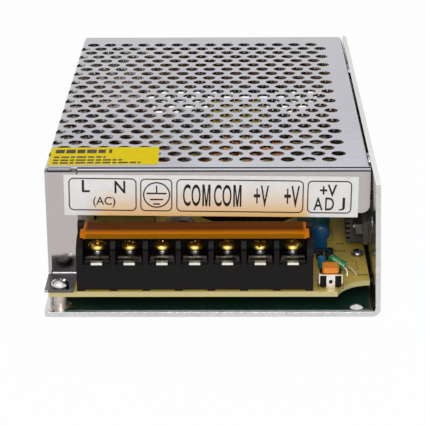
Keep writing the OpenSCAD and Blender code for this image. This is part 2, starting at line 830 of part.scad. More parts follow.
choke_in = choke_d * 0.207;
choke_core_w = 14.6;
choke_wire = 1.3;
choke_base_h = 2.9;
choke_z = top_z + choke_base_h + seam_gap / 2 + choke_wire + choke_core_w / 2;
line_r = 8;
line_in = 4.4;
line_w = 7;
line_wire = 0.9;
line_z = top_z + line_r + 0.2;

module line_choke_core() {
    color([0.2, 0.3, 0.2]) put(line_choke_at, line_z) ring_core(line_r, line_in, line_w);
}

module line_choke_winding() {
    color([0.72, 0.35, 0.15]) put(line_choke_at, line_z) for (a = [35, 215])
        ring_winding(line_r, line_in, line_w, line_wire, 12, a, a + 110);
}

// Square foot of the output choke, corners cut, with a low centre boss
module choke_base() {
    half = choke_d / 2 + choke_wire;
    cut = 4;
    color([0.1, 0.1, 0.1]) put(choke_at) {
        linear_extrude(choke_base_h) polygon([[-half + cut, -half], [half - cut, -half],
            [half, -half + cut], [half, half - cut], [half - cut, half],
            [-half + cut, half], [-half, half - cut], [-half, -half + cut]]);
        cylinder(r = choke_in - choke_wire - 1.5, h = choke_base_h + 5);
    }
}

module output_choke_core() {
    color([0.8, 0.75, 0.25]) put(choke_at, choke_z) rotate([0, 90, 0])
        ring_core(choke_d / 2, choke_in, choke_core_w);
}

module output_choke_winding() {
    color([0.78, 0.38, 0.16]) put(choke_at, choke_z) rotate([0, 90, 0])
        ring_winding(choke_d / 2, choke_in, choke_core_w, choke_wire, choke_turns, 0,
            360 * (choke_turns - 1) / choke_turns);
}

// Coated disc on two leads, standing on the board
module disc_part(r, t, stand) {
    translate([0, t / 2, stand + r]) rotate([90, 0, 0]) cylinder(r = r, h = t);
    translate([-r * 0.6, -t / 2, stand - 0.4]) cube([r * 1.2, t, r]);
    for (s = [-1, 1]) translate([s * r * 0.42, 0, 0]) cylinder(r = 0.3, h = stand);
}

module thermistor() {
    color([0.1, 0.12, 0.1]) put(thermistor_at) disc_part(5, 3.6, 2.5);
}

module disc_capacitors() {
    color([0.02, 0.16, 0.32]) for (p = discs_at) put(p) disc_part(2.9, 2.6, 4.4);
}

module bridge_rectifier() {
    color([0.1, 0.1, 0.1]) put(bridge_at) {
        translate([-1.8, -7.5, 3]) cube([3.6, 15, 12]);
        for (i = [-1.5:1.5]) translate([0, i * 3.8, 0]) cylinder(r = 0.5, h = 3);
    }
}

// Electrolytic can with a rolled bead near its foot and a dished top
module can(d, h) {
    r = d / 2;
    rotate_extrude() polygon([[0, 0], [r - 0.3, 0], [r, 0.4], [r, 2.2], [r - 0.6, 2.8],
        [r, 3.4], [r, h - 0.5], [r - 0.5, h], [r * 0.82, h], [r * 0.8, h - 0.3], [0, h - 0.3]]);
}

module bulk_capacitors() {
    color([0.12, 0.12, 0.14]) for (p = bulk_at) put(p) can(bulk_d, bulk_h);
}

module output_capacitors() {
    color([0.05, 0.25, 0.27]) for (p = out_caps_at) put(p) can(out_cap_d, out_cap_h);
}

module small_capacitors() {
    color([0.1, 0.15, 0.2]) {
        put([64, 124]) can(6.3, 11);
        put([72, 133]) can(6.3, 11);
        put([81.7, 20]) can(2.4, 2.6);
        put([81.4, 26.6]) can(2.2, 3.4);
        put([84.4, 26.2]) can(2.6, 3.6);
    }
}

module film_capacitor() {
    color([0.45, 0.08, 0.08]) put(film_at) box_capacitor(18, 7, 18);
}

// Shell core round a coil lying along the length, with two end yokes
module shell_core(w, l, t, leg) {
    difference() {
        translate([-w / 2, -l / 2, -t / 2]) cube([w, l, t]);
        translate([-w / 2 + leg, -l / 2 + leg, -t / 2 - over])
            cube([w - 2 * leg, l - 2 * leg, t + 2 * over]);
    }
    translate([-leg, -l / 2 + leg / 2, -t / 2]) cube([2 * leg, l - leg, t]);
}

// Tape-wrapped coil with rounded corners, hollow for the centre leg
module coil(w, l, h, hole_w, hole_h) {
    r = 2.5;
    rotate([90, 0, 0]) translate([0, 0, -l / 2]) linear_extrude(l) difference() {
        union() {
            square([w - 2 * r, h], center = true);
            square([w, h - 2 * r], center = true);
            for (x = [-1, 1]) for (z = [-1, 1])
                translate([x * (w / 2 - r), z * (h / 2 - r)]) circle(r = r);
        }
        square([hole_w, hole_h], center = true);
    }
}

core_t = 11;
core_leg = 4.5;
coil_h = 22;
trafo_z = top_z + 2 + coil_h / 2;
coil_gap = 0.2;

module transformer_core() {
    color([0.15, 0.15, 0.16]) put(trafo_at, trafo_z) shell_core(core_w, core_l, core_t, core_leg);
}

module transformer_bobbin() {
    coil_l = core_l - 2 * core_leg;
    rail_h = trafo_z - core_t / 2 - top_z - fit_gap;
    color([0.9, 0.88, 0.8]) put(trafo_at) for (s = [-1, 1])
        translate([-core_w / 2 + 2, s * (core_l / 2 - core_leg / 2) - core_leg / 2, 0])
            cube([core_w - 4, core_leg, rail_h]);
    color([0.9, 0.88, 0.8]) put(trafo_at, trafo_z) difference() {
        cube([core_w - 2 * core_leg - 2 * coil_gap, coil_l - 2 * coil_gap, core_t + 4],
            center = true);
        cube([core_w, coil_l - 2 * coil_gap - 2, core_t + 5], center = true);
        cube([2 * core_leg + 2 * coil_gap, coil_l + over, core_t + 2 * coil_gap],
            center = true);
    }
}

module transformer_winding() {
    color([0.95, 0.82, 0.1]) put(trafo_at, trafo_z)
        coil(core_w - 2 * core_leg - 2 * coil_gap, core_l - 2 * core_leg - 2 * coil_gap - 2.2,
            coil_h, 2 * core_leg + 2 * coil_gap, core_t + 2 * coil_gap);
}

driver_w = 7;
driver_l = 23;
driver_h = 17.6;
driver_flange = 2;
driver_rod = 3;

// Drum core lying along the length, with its coil between two square flanges
module driver_core() {
    color([0.15, 0.15, 0.16]) put(driver_at) {
        for (s = [-1, 1])
            translate([-driver_w / 2, s * (driver_l - driver_flange) / 2 - driver_flange / 2, 0])
                cube([driver_w, driver_flange, driver_h]);
        translate([-driver_rod / 2, -driver_l / 2 + over, driver_h / 2 - driver_rod / 2])
            cube([driver_rod, driver_l - 2 * over, driver_rod]);
    }
}

module driver_winding() {
    color([0.6, 0.58, 0.15]) put(driver_at, top_z + driver_h / 2)
        coil(driver_w - 2 * fit_gap, driver_l - 2 * driver_flange - 2 * coil_gap,
            driver_h - 1, driver_rod + 2 * coil_gap, driver_rod + 2 * coil_gap);
}

module control_chip() {
    color([0.1, 0.1, 0.1]) put(chip_at) {
        translate([-3.2, -9.7, 0.5]) cube([6.4, 19.4, 3.4]);
        for (s = [-1, 1]) for (i = [-3.5:3.5])
            translate([s * 3.6 - 0.5, i * 2.54 - 0.3, 0]) cube([1, 0.6, 2.2]);
    }
}

// Axial part lying along Y, held up on bent leads
module axial(len, d) {
    lift = d / 2 + 0.2;
    translate([0, len / 2, lift]) rotate([90, 0, 0]) cylinder(d = d, h = len);
    translate([0, len / 2 + 2, lift]) rotate([90, 0, 0]) cylinder(d = 0.7, h = len + 4);
    for (s = [-1, 1]) translate([0, s * (len / 2 + 1.65), 0]) cylinder(d = 0.7, h = lift);
}

module resistors() {
    color([0.75, 0.65, 0.5]) {
        for (i = [0:3]) put([74 + 3.5 * i, 114.5]) axial(6.5, 2.4);
        put([28, 65]) axial(11, 4.5);
        put([36, 56]) axial(11, 4.5);
    }
}

module diodes() {
    color([0.12, 0.12, 0.12]) {
        for (i = [0:2]) put([case_w - 7.8, 84 + 11 * i]) axial(5, 2.7);
        put([33, 97]) axial(8, 4);
    }
}

// Power semiconductors standing against the side wall
pad_t = 0.3;
tab_t = 1.3;
device_t = 4.5;
device_w = 10.2;
lead_lift = bend_r * sin(wall_lean) + 0.02;
device_z = top_z + 4;
bar_z = device_z + 6;
bar_t = 1.5;

function bar_y() = [devices_y[0] + 8.8, (devices_y[1] + devices_y[2]) / 2];

module power_devices() {
    color([0.13, 0.13, 0.14]) for (y = devices_y) lean()
        translate([in_x - pad_t, at_y(y), device_z]) {
            translate([-tab_t, -device_w / 2, 0]) cube([tab_t, device_w, 15.5]);
            translate([-device_t, -device_w / 2, 0]) cube([device_t - tab_t, device_w, 9]);
            for (i = [-1:1]) translate([-3, i * 2.54 - 0.4, top_z - device_z + lead_lift])
                cube([0.6, 0.8, 4]);
        }
}

module insulating_pads() {
    color([0.75, 0.75, 0.78]) for (y = devices_y) lean()
        translate([in_x - pad_t, at_y(y) - 6.2, device_z - 1]) cube([pad_t, 12.4, 18]);
}

// Steel bars that press the devices to the wall, one screw each
module clamp_bars() {
    bar_x = in_x - pad_t - device_t - bar_t;
    reach = [[-12.5, 2.5], [-12.5, 12.5]];
    color("silver") for (k = [0, 1]) lean() translate([bar_x, at_y(bar_y()[k]), bar_z - 3])
        difference() {
            union() {
                translate([0, reach[k][0], 0]) cube([bar_t, reach[k][1] - reach[k][0], 6]);
                translate([0, -2.4, 0]) cube([in_x - bar_x, 4.8, 6]);
            }
            translate([-over, 0, 3]) rotate([0, 90, 0])
                cylinder(r = m3_r + fit_gap, h = 2 * over + in_x - bar_x);
        }
}

// Countersunk screws through the wall, with their nuts
module device_screws() {
    bar_len = base_t + pad_t + device_t + bar_t + nut_h + 0.6;
    sink_len = base_t + ear_t + nut_h + 0.6;
    color("silver") {
        for (y = bar_y()) side_screw_place(y, bar_z) {
            csk_screw(bar_len);
            translate([0, 0, bar_len - nut_h - 0.6]) nut();
        }
        side_screw_place(sink_hole[0], sink_hole[1]) {
            csk_screw(sink_len);
            translate([0, 0, sink_len - nut_h - 0.6]) nut();
        }
    }
}

module nut() {
    difference() {
        cylinder(d = nut_af / cos(30), h = nut_h, $fn = 6);
        translate([0, 0, -over]) cylinder(r = m3_r, h = nut_h + 2 * over);
    }
}

// Ribbed aluminium block bolted to the wall by its ear
ear_t = 1.6;

module wall_heatsink() {
    depth = 6.2;
    height = 10.5;
    len = 9.5;
    color([0.35, 0.35, 0.37]) lean() translate([in_x - depth, at_y(sink_y) - len / 2, top_z + 1.6])
        difference() {
            union() {
                cube([depth, len, height]);
                translate([depth - ear_t, -7, 2]) cube([ear_t, 8, height - 3]);
            }
            for (i = [0:5])
                translate([-over, -over, 1.2 + i * 1.6]) cube([over + 1.2, len + 2 * over, 0.7]);
            translate([0, sink_hole[0] - sink_y + len / 2, sink_hole[1] - top_z - 1.6])
                rotate([0, 90, 0]) cylinder(r = m3_r + fit_gap, h = 3 * depth, center = true);
        }
}

// Adhesive labels
module front_label() {
    color("whitesmoke") translate([(left_x + cover_x) / 2 + 1.1, at_y(front_set),
        case_h - lip - label_drop + label_h / 2]) rotate([0, label_tilt, 0])
            translate([-label_w / 2, -label_t, -label_h / 2])
                cube([label_w, label_t, label_h]);
}

module top_sticker() {
    color([0.96, 0.86, 0]) translate([left_x + 17, at_y(front_set + 10.9), case_h])
        rotate([0, 0, 1]) translate([-16.1, -7.6, 0]) cube([32.2, 15.2, 0.15]);
}

chassis();
cover();
insulation_sheet();
pcb();
standoffs();
pcb_screws();
tab_screw();
cover_screws();
terminal_block();
terminal_plates();
clamp_washer(1);  // clamp_washer_1
clamp_washer(2);  // clamp_washer_2
clamp_washer(3);  // clamp_washer_3
clamp_washer(4);  // clamp_washer_4
clamp_washer(5);  // clamp_washer_5
clamp_washer(6);  // clamp_washer_6
clamp_washer(7);  // clamp_washer_7
terminal_screw(1);  // terminal_screw_1
terminal_screw(2);  // terminal_screw_2
terminal_screw(3);  // terminal_screw_3
terminal_screw(4);  // terminal_screw_4
terminal_screw(5);  // terminal_screw_5
terminal_screw(6);  // terminal_screw_6
terminal_screw(7);  // terminal_screw_7
terminal_cover();
trimmer_body();
trimmer_bracket();
trimmer_rotor();
status_led();
x_capacitor();
fuse();
fuse_clips();
line_choke_core();
line_choke_winding();
thermistor();
bridge_rectifier();
bulk_capacitors();
film_capacitor();
driver_core();
driver_winding();
transformer_core();
transformer_bobbin();
transformer_winding();
choke_base();
output_choke_core();
output_choke_winding();
output_capacitors();
disc_capacitors();
control_chip();
resistors();
diodes();
small_capacitors();
power_devices();
clamp_bars();
device_screws();
insulating_pads();
wall_heatsink();
front_label();
top_sticker();
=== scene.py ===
import math
import bmesh
import bpy
from mathutils import Matrix, Vector


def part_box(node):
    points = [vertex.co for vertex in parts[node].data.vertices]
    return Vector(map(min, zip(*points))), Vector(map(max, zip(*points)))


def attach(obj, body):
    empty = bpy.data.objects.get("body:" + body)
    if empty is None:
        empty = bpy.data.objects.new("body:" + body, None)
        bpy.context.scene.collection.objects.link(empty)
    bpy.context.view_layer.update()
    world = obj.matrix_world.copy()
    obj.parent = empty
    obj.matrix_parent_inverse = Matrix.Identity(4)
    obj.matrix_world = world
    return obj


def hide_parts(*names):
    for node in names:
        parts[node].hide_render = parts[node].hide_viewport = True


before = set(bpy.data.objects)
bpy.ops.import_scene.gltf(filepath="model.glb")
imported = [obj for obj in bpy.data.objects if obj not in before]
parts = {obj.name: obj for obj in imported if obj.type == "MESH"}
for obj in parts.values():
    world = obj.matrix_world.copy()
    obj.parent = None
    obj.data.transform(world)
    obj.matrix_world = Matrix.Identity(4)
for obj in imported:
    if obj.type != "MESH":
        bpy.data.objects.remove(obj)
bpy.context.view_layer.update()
mm = 0.001
print("frame loaded:", len(parts), "nodes")

camera = {
    "lens": 142.7,  # millimetres
    "place": (0.0067, -0.5273, 0.20475),
    "lookDown": 21.05,  # degrees, as are the next two
    "turnLeft": 0.82,
    "tilt": -0.39,
}


def makeCamera():
    data = bpy.data.cameras.new("camera")
    data.lens, data.sensor_width = camera["lens"], 36
    data.clip_start, data.clip_end = 0.01, 20
    seen = bpy.data.objects.new("camera", data)
    bpy.context.scene.collection.objects.link(seen)
    turn = (Matrix.Rotation(math.radians(camera["turnLeft"]), 4, "Z")
            @ Matrix.Rotation(math.radians(90 - camera["lookDown"]), 4, "X")
            @ Matrix.Rotation(math.radians(camera["tilt"]), 4, "Z"))
    seen.matrix_world = Matrix.Translation(camera["place"]) @ turn
    bpy.context.scene.camera = seen
    bpy.context.scene.view_settings.view_transform = "Standard"


makeCamera()
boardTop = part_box("pcb")[1].z / mm


# a node's box in millimetres: low corner, high corner, middle
def boxOf(node):
    low, high = [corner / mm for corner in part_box(node)]
    return low, high, (low + high) / 2


# node trees: Signal is a socket that takes part in sums, NodeTree adds nodes by one method
class Signal:
    def __init__(self, tree, socket):
        self.tree, self.socket = tree, socket

    def maths(self, operation, other=0.0, swapped=False):
        pair = (other, self) if swapped else (self, other)
        return self.tree.add("ShaderNodeMath", {"operation": operation}, {0: pair[0], 1: pair[1]})

    def __add__(self, other):
        return self.maths("ADD", other)

    def __sub__(self, other):
        return self.maths("SUBTRACT", other)

    def __rsub__(self, other):
        return self.maths("SUBTRACT", other, swapped=True)

    def __mul__(self, other):
        return self.maths("MULTIPLY", other)

    def __truediv__(self, other):
        return self.maths("DIVIDE", other)

    def __pow__(self, other):
        return self.maths("POWER", other)

    def __gt__(self, other):
        return self.maths("GREATER_THAN", other)

    def __lt__(self, other):
        return self.maths("LESS_THAN", other)

    __radd__, __rmul__ = __add__, __mul__


class NodeTree:
    def __init__(self, tree):
        self.nodes, self.links = tree.nodes, tree.links

    def feed(self, socket, value):
        if isinstance(value, Signal):
            self.links.new(value.socket, socket)
        elif socket.type == "RGBA" and len(value) == 3:
            socket.default_value = (*value, 1)
        else:
            socket.default_value = value

    def add(self, kind, settings=None, inputs=None, output=0):
        node = self.nodes.new(kind)
        for key, value in (settings or {}).items():
            setattr(node, key, value)
        for key, value in (inputs or {}).items():
            for one in value if isinstance(value, list) else [value]:
                self.feed(node.inputs[key], one)
        return Signal(self, node.outputs[output])


class Finish(NodeTree):
    def __init__(self, name, constants):
        self.material = bpy.data.materials.new(name)
        self.material.use_nodes = True
        super().__init__(self.material.node_tree)
        self.shader = self.nodes["Principled BSDF"]
        for key, value in constants.items():
            self.feed(self.shader.inputs[key], value)

    def paint(self, socket, value):
        self.feed(self.shader.inputs[socket], value)

    def place(self, stretch=(1, 1, 1), centre=(0, 0, 0)):
        here = self.add("ShaderNodeTexCoord", output="Object")
        return self.add("ShaderNodeMapping", {"vector_type": "TEXTURE"},
                        {"Vector": here, "Scale": stretch, "Location": centre})

    def axis(self, name, **mapping):
        return self.add("ShaderNodeSeparateXYZ", inputs={0: self.place(**mapping)}, output=name)

    def upward(self):
        normal = self.add("ShaderNodeNewGeometry", output="Normal")
        return self.add("ShaderNodeSeparateXYZ", inputs={0: normal}, output="Z")

    def noise(self, scale, detail=3, rough=0.55, **mapping):
        return self.add("ShaderNodeTexNoise", inputs={
            "Vector": self.place(**mapping), "Scale": scale, "Detail": detail, "Roughness": rough})

    def spread(self, value, low, high, first=0.0, last=1.0):
        return self.add("ShaderNodeMapRange", {"clamp": True}, {
            0: value, 1: low, 2: high, 3: first, 4: last})

    def blend(self, first, last, mask):
        return self.add("ShaderNodeMix", {"data_type": "RGBA", "clamp_factor": True},
                        {0: mask, 6: first, 7: last}, output=2)

    def shape(self, height, strength, depth, edge=0):
        inputs = {"Height": height, "Strength": strength, "Distance": depth}
        if edge:
            inputs["Normal"] = self.add("ShaderNodeBevel", {"samples": 4}, {"Radius": edge})
        self.paint("Normal", self.add("ShaderNodeBump", inputs=inputs))


# a tree of Geometry Nodes with named sizes; grow() turns one setting of it into a plain mesh
class Growth(NodeTree):
    def __init__(self, name, sizes):
        self.group = bpy.data.node_groups.new(name, "GeometryNodeTree")
        super().__init__(self.group)
        kinds = {int: "NodeSocketInt", float: "NodeSocketFloat", tuple: "NodeSocketVector"}
        self.group.interface.new_socket("Geometry", in_out="OUTPUT",
                                        socket_type="NodeSocketGeometry")
        for title, value in sizes.items():
            self.group.interface.new_socket(title, in_out="INPUT",
                                            socket_type=kinds[type(value)]).default_value = value
        self.given = self.nodes.new("NodeGroupInput")

    def size(self, title):
        return Signal(self, self.given.outputs[title])

    def vector(self, x=0.0, y=0.0, z=0.0):
        return self.add("ShaderNodeCombineXYZ", inputs={0: x, 1: y, 2: z})

    def moved(self, shape, **inputs):
        return self.add("GeometryNodeTransform", inputs={"Geometry": shape, **inputs})

    def swept(self, path, radius, corners, scale=1.0):
        ring = self.add("GeometryNodeCurvePrimitiveCircle",
                        inputs={"Resolution": corners, "Radius": radius})
        return self.add("GeometryNodeCurveToMesh", inputs={
            "Curve": path, "Profile Curve": ring, "Scale": scale, "Fill Caps": True})

    def end(self, shapes, finish):
        whole = self.add("GeometryNodeJoinGeometry", inputs={0: shapes})
        sized = self.moved(whole, Scale=(mm, mm, mm))
        solid = self.add("GeometryNodeRealizeInstances", inputs={0: sized})
        done = self.add("GeometryNodeSetMaterial",
                        inputs={"Geometry": solid, "Material": finish.material})
        self.links.new(done.socket, self.nodes.new("NodeGroupOutput").inputs[0])

    def grow(self, sizes):
        host = bpy.data.objects.new("host", bpy.data.meshes.new("host"))
        bpy.context.scene.collection.objects.link(host)
        modifier = host.modifiers.new("growth", "NODES")
        modifier.node_group = self.group
        for item in self.group.interface.items_tree:
            if item.in_out == "INPUT" and item.name in sizes:
                modifier[item.identifier] = sizes[item.name]
        seen = host.evaluated_get(bpy.context.evaluated_depsgraph_get())
        mesh = bpy.data.meshes.new_from_object(seen)
        bpy.data.objects.remove(host)
        return mesh


def dress(finish, *nodes):
    for name in nodes:
        for slot in parts[name].material_slots:
            slot.material = finish.material


# sheet metal: two tones, roughness, grain direction and the radius of worn edges
sheets = {
    "chassis": {"light": (0.69, 0.685, 0.68), "dull": (0.54, 0.535, 0.53), "rough": 0.14,
                "grain": (1, 22, 1), "edge": 0.00018},
    "cover": {"light": (0.45, 0.45, 0.49), "dull": (0.36, 0.36, 0.40), "rough": 0.14,
              "grain": (18, 1, 1), "edge": 0.00012},
}

# the cover's tones, all painted light: upright faces in a painted shading of their own, the front fold in
# painted shade between two painted dark reflection lines, the foot and tab in a painted dark reflection and
# shade
coverLook = {
    "upright": (0.50, 0.455, 0.435), "fold": (0.34, 0.335, 0.35), "line": (0.02, 0.018, 0.02),
    "paintedReflection": (0.045, 0.04, 0.04), "foldDepth": 0.0008, "foldHeight": 0.0009, "lineHalf": 0.0003,
    "footTop": 0.012, "footFade": (0.0148, 0.0138), "footWaver": 0.0012, "footEdge": 0.0012,
    "foldRough": 0.22, "uprightShare": 0.85, "lineShare": 0.93, "footShare": 0.85, "tabShare": 0.8,
}


def coverTone(metal, tone, clouds):
    look = coverLook
    low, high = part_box("cover")
    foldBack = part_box("front_label")[1].y + look["foldDepth"]
    foldUnder = high.z - look["foldHeight"]
    across, depth, height, up = metal.axis("X"), metal.axis("Y"), metal.axis("Z"), metal.upward()
    front, top = depth < foldBack, height > foldUnder
    # painted shading: upright faces take a lighter, warmer tone than the top by facing alone
    tone = metal.blend(tone, look["upright"], (up < 0.5) * look["uprightShare"])
    # painted shade: the front fold's colour is dimmed
    tone = metal.blend(tone, look["fold"], front * top)
    # painted reflections: thin dark lines along both edges of the fold
    lines = (((depth - foldBack).maths("ABSOLUTE") < look["lineHalf"]) * top
             + ((height - foldUnder).maths("ABSOLUTE") < look["lineHalf"]) * front)
    tone = metal.blend(tone, look["line"], lines * look["lineShare"])
    # painted reflection and shade: the lower front of the upright and the top of the tab are painted dark
    foot = (metal.spread(height + clouds * look["footWaver"], *look["footFade"])
            * (up.maths("ABSOLUTE") < 0.3) * (across > low.x + look["footEdge"])
            * (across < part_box("terminal_block")[0].x))
    tab = (height < look["footTop"]) * (up > 0.97)
    paintedReflectionMask = (foot * look["footShare"] + tab * look["tabShare"]) * front
    return metal.blend(tone, look["paintedReflection"], paintedReflectionMask), front * top


def sheetMetal(name):
    sheet = sheets[name]
    metal = Finish(name + "Sheet", {"Metallic": 1.0})
    streaks = metal.noise(900, 4, 0.6, stretch=sheet["grain"])
    clouds = metal.noise(28, 5, 0.6)
    rub = metal.noise(160, 3, 0.7)
    wear = streaks * 0.4 + clouds * 0.4 + rub * 0.2
    tone = metal.blend(sheet["dull"], sheet["light"], metal.spread(wear, 0.36, 0.62))
    rough = metal.spread(wear, 0.3, 0.7, sheet["rough"] + 0.05, sheet["rough"] - 0.04)
    if name == "cover":
        tone, fold = coverTone(metal, tone, clouds)
        rough = rough + fold * coverLook["foldRough"]
    metal.paint("Base Color", tone)
    metal.paint("Roughness", rough)
    metal.shape(streaks * 0.6 + rub * 0.4, 0.04, 0.0001, sheet["edge"])
    return metal


for name in sheets:
    dress(sheetMetal(name), name)

# hardware metals: colour and roughness; the shade in the colour's clouds is a darker tone of it
metals = {
    "plated": ((0.66, 0.64, 0.61), 0.2),
    "tinned": ((0.90, 0.87, 0.78), 0.3),
    "spacer": ((0.62, 0.55, 0.50), 0.42),
    "dark": ((0.11, 0.105, 0.10), 0.3),
    "dim": ((0.36, 0.35, 0.34), 0.25),
    "brass": ((0.86, 0.62, 0.16), 0.34),
}
shadeShare = 0.7
brassLook = {"shade": (0.50, 0.30, 0.04), "neck": (0.78, 0.76, 0.80), "neckTop": 0.0183}


def hardwareMetal(name):
    colour, rough = metals[name]
    metal = Finish(name + "Metal", {"Metallic": 1.0})
    clouds = metal.noise(700, 4, 0.65)
    shade = brassLook["shade"] if name == "brass" else tuple(shadeShare * c for c in colour)
    tone = metal.blend(shade, colour, metal.spread(clouds, 0.3, 0.6))
    if name == "brass":  # zinc shows below the terminal screws' heads
        tone = metal.blend(brassLook["neck"], tone, metal.axis("Z") > brassLook["neckTop"])
    metal.paint("Base Color", tone)
    metal.paint("Roughness", metal.spread(clouds, 0.3, 0.7, rough + 0.1, rough - 0.05))
    metal.shape(clouds, 0.1, 0.00005)
    return metal


plated, tinned, spacer, dark, dim, brass = [hardwareMetal(name) for name in metals]
dress(plated, "cover_screws", "fuse_clips")
dress(spacer, "standoffs")
dress(tinned, "trimmer_bracket")
dress(dark, "device_screws", "clamp_bars")

# terminal plates: bright tongue; behind it the plate is painted near black, a painted shade inside the
# block
plateLook = {"tongue": 0.0017, "bright": (0.72, 0.70, 0.62), "dull": (0.07, 0.065, 0.06)}


def plateFinish(look):
    metal = Finish("plateMetal", {"Metallic": 1.0})
    film = metal.noise(900, 4, 0.65)
    tongue = metal.blend(look["bright"], metals["tinned"][0], metal.spread(film, 0.3, 0.6))
    # painted shade: everything behind the tongue takes the near-black tone
    behind = metal.axis("Y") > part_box("terminal_plates")[0].y + look["tongue"]
    metal.paint("Base Color", metal.blend(tongue, look["dull"], behind))
    metal.paint("Roughness", metal.spread(film, 0.3, 0.7, 0.4, 0.28))
    metal.shape(film, 0.1, 0.00005)
    return metal


dress(plateFinish(plateLook), "terminal_plates")

# clamp washers: fine grooves across a tarnished face
washerLook = {"light": (0.10, 0.09, 0.075), "dull": (0.004, 0.003, 0.0025), "groove": 0.0011}


def washerFinish(look):
    steel = Finish("washerSteel", {"Metallic": 0.75, "Specular IOR Level": 0.1,
                                   "Specular Tint": (0.3, 0.28, 0.26)})
    groove = (steel.axis("Y") * (2 * math.pi / look["groove"])).maths("SINE")
    rust = steel.noise(1100, 4, 0.7, stretch=(5, 1, 1))
    steel.paint("Base Color", steel.blend(look["dull"], look["light"],
                                          steel.spread(rust + groove * 0.12, 0.5, 0.68)))
    steel.paint("Roughness", steel.spread(rust, 0.3, 0.7, 0.4, 0.22))
    steel.shape(groove * 0.5 + rust, 0.3, 0.0001)
    return steel


dress(washerFinish(washerLook), *[f"clamp_washer_{i}" for i in range(1, 8)])

# coatings: colour, second colour, roughness, grain scale, bump, specular
coatings = {
    "blackMoulding": ((0.0062, 0.0052, 0.005), (0.0078, 0.0068, 0.0066), 0.5, 2200, 0.04, 0.12),
    "insulatingFilm": ((0.002, 0.018, 0.014), (0.005, 0.030, 0.024), 0.1, 34, 0.5, 0.5),
    "orangePlastic": ((0.78, 0.21, 0.006), (0.88, 0.30, 0.015), 0.4, 900, 0.1, 0.5),
    "yellowCase": ((0.13, 0.095, 0.014), (0.19, 0.14, 0.02), 0.45, 500, 0.1, 0.3),
    "fuseGlass": ((0.75, 0.74, 0.68), (0.82, 0.81, 0.76), 0.15, 300, 0.02, 0.5),
    "ferrite": ((0.020, 0.020, 0.022), (0.04, 0.04, 0.044), 0.55, 1500, 0.3, 0.4),
    "darkCoating": ((0.02, 0.024, 0.02), (0.04, 0.045, 0.036), 0.4, 700, 0.15, 0.5),
    "epoxyBlack": ((0.014, 0.014, 0.016), (0.028, 0.028, 0.03), 0.5, 1400, 0.2, 0.4),
    "redCase": ((0.26, 0.02, 0.015), (0.36, 0.035, 0.025), 0.32, 700, 0.12, 0.5),
    "bobbinPlastic": ((0.72, 0.68, 0.58), (0.80, 0.77, 0.68), 0.45, 900, 0.1, 0.5),
    "yellowTape": ((0.82, 0.62, 0.01), (0.90, 0.74, 0.03), 0.3, 400, 0.12, 0.5),
    "oliveTape": ((0.30, 0.29, 0.03), (0.40, 0.38, 0.05), 0.35, 400, 0.12, 0.5),
    "blueCoating": ((0.001, 0.05, 0.13), (0.002, 0.08, 0.20), 0.34, 800, 0.1, 0.4),
    "resistorCoating": ((0.48, 0.38, 0.22), (0.60, 0.50, 0.32), 0.5, 900, 0.15, 0.5),
    "padRubber": ((0.42, 0.42, 0.44), (0.50, 0.50, 0.52), 0.6, 900, 0.15, 0.5),
    "darkAluminium": ((0.06, 0.053, 0.048), (0.12, 0.108, 0.10), 0.42, 900, 0.2, 0.5),
    "powderCore": ((0.62, 0.58, 0.12), (0.72, 0.68, 0.18), 0.55, 1500, 0.25, 0.5),
}


def coating(name):
    first, last, rough, scale, bump, shine = coatings[name]
    coat = Finish(name, {"IOR": 1.5, "Specular IOR Level": shine,
                         "Metallic": 0.6 if name == "darkAluminium" else 0.0})
    grain = coat.noise(scale, 4, 0.6)
    broad = coat.noise(scale / 12, 3, 0.6)
    coat.paint("Base Color", coat.blend(first, last, coat.spread(grain * 0.5 + broad * 0.5, 0.35, 0.65)))
    coat.paint("Roughness", coat.spread(broad, 0.3, 0.7, rough - 0.05, rough + 0.07))
    coat.shape(grain, bump, 0.0001, 0.00012)
    return coat


coats = {name: coating(name) for name in coatings}
for coatName, nodes in {
    "blackMoulding": ["terminal_block", "trimmer_body", "choke_base"],
    "insulatingFilm": ["insulation_sheet"],
    "orangePlastic": ["trimmer_rotor"],
    "yellowCase": ["x_capacitor"],
    "fuseGlass": ["fuse"],
    "ferrite": ["transformer_core", "driver_core"],
    "darkCoating": ["line_choke_core", "thermistor"],
    "epoxyBlack": ["bridge_rectifier", "control_chip", "diodes", "power_devices"],
    "redCase": ["film_capacitor"],
    "bobbinPlastic": ["transformer_bobbin"],
    "yellowTape": ["transformer_winding"],
    "oliveTape": ["driver_winding"],
    "resistorCoating": ["resistors"],
    "padRubber": ["insulating_pads"],
    "darkAluminium": ["wall_heatsink"],
    "powderCore": ["output_choke_core"],
}.items():
    dress(coats[coatName], *nodes)

# cans: sleeve in two tones, bare aluminium top; the small ones are sleeved all over
cans = {
    "bulk_capacitors": ((0.018, 0.02, 0.03), (0.035, 0.037, 0.05)),
    "output_capacitors": ((0.01, 0.09, 0.10), (0.02, 0.13, 0.14)),
    "small_capacitors": ((0.006, 0.008, 0.012), (0.015, 0.02, 0.028)),
}
canTop = (0.62, 0.62, 0.64)
blueCan = {"colour": (0.008, 0.16, 0.34), "before": -0.0575}  # the foremost small can


def canFinish(name):
    first, last = cans[name]
    can = Finish(name + "Can", {"IOR": 1.5})
    grain = can.noise(500, 4)
    colour = can.blend(first, last, can.spread(grain, 0.35, 0.65))
    if name == "small_capacitors":
        colour = can.blend(colour, blueCan["colour"], can.axis("Y") < blueCan["before"])
    else:
        top = can.upward() > 0.95
        colour = can.blend(colour, canTop, top)
        can.paint("Metallic", top)
    can.paint("Base Color", colour)
    can.paint("Roughness", can.spread(grain, 0.3, 0.7, 0.24, 0.36))
    can.shape(grain, 0.05, 0.0001, 0.00015)
    return can


for name in cans:
    dress(canFinish(name), name)

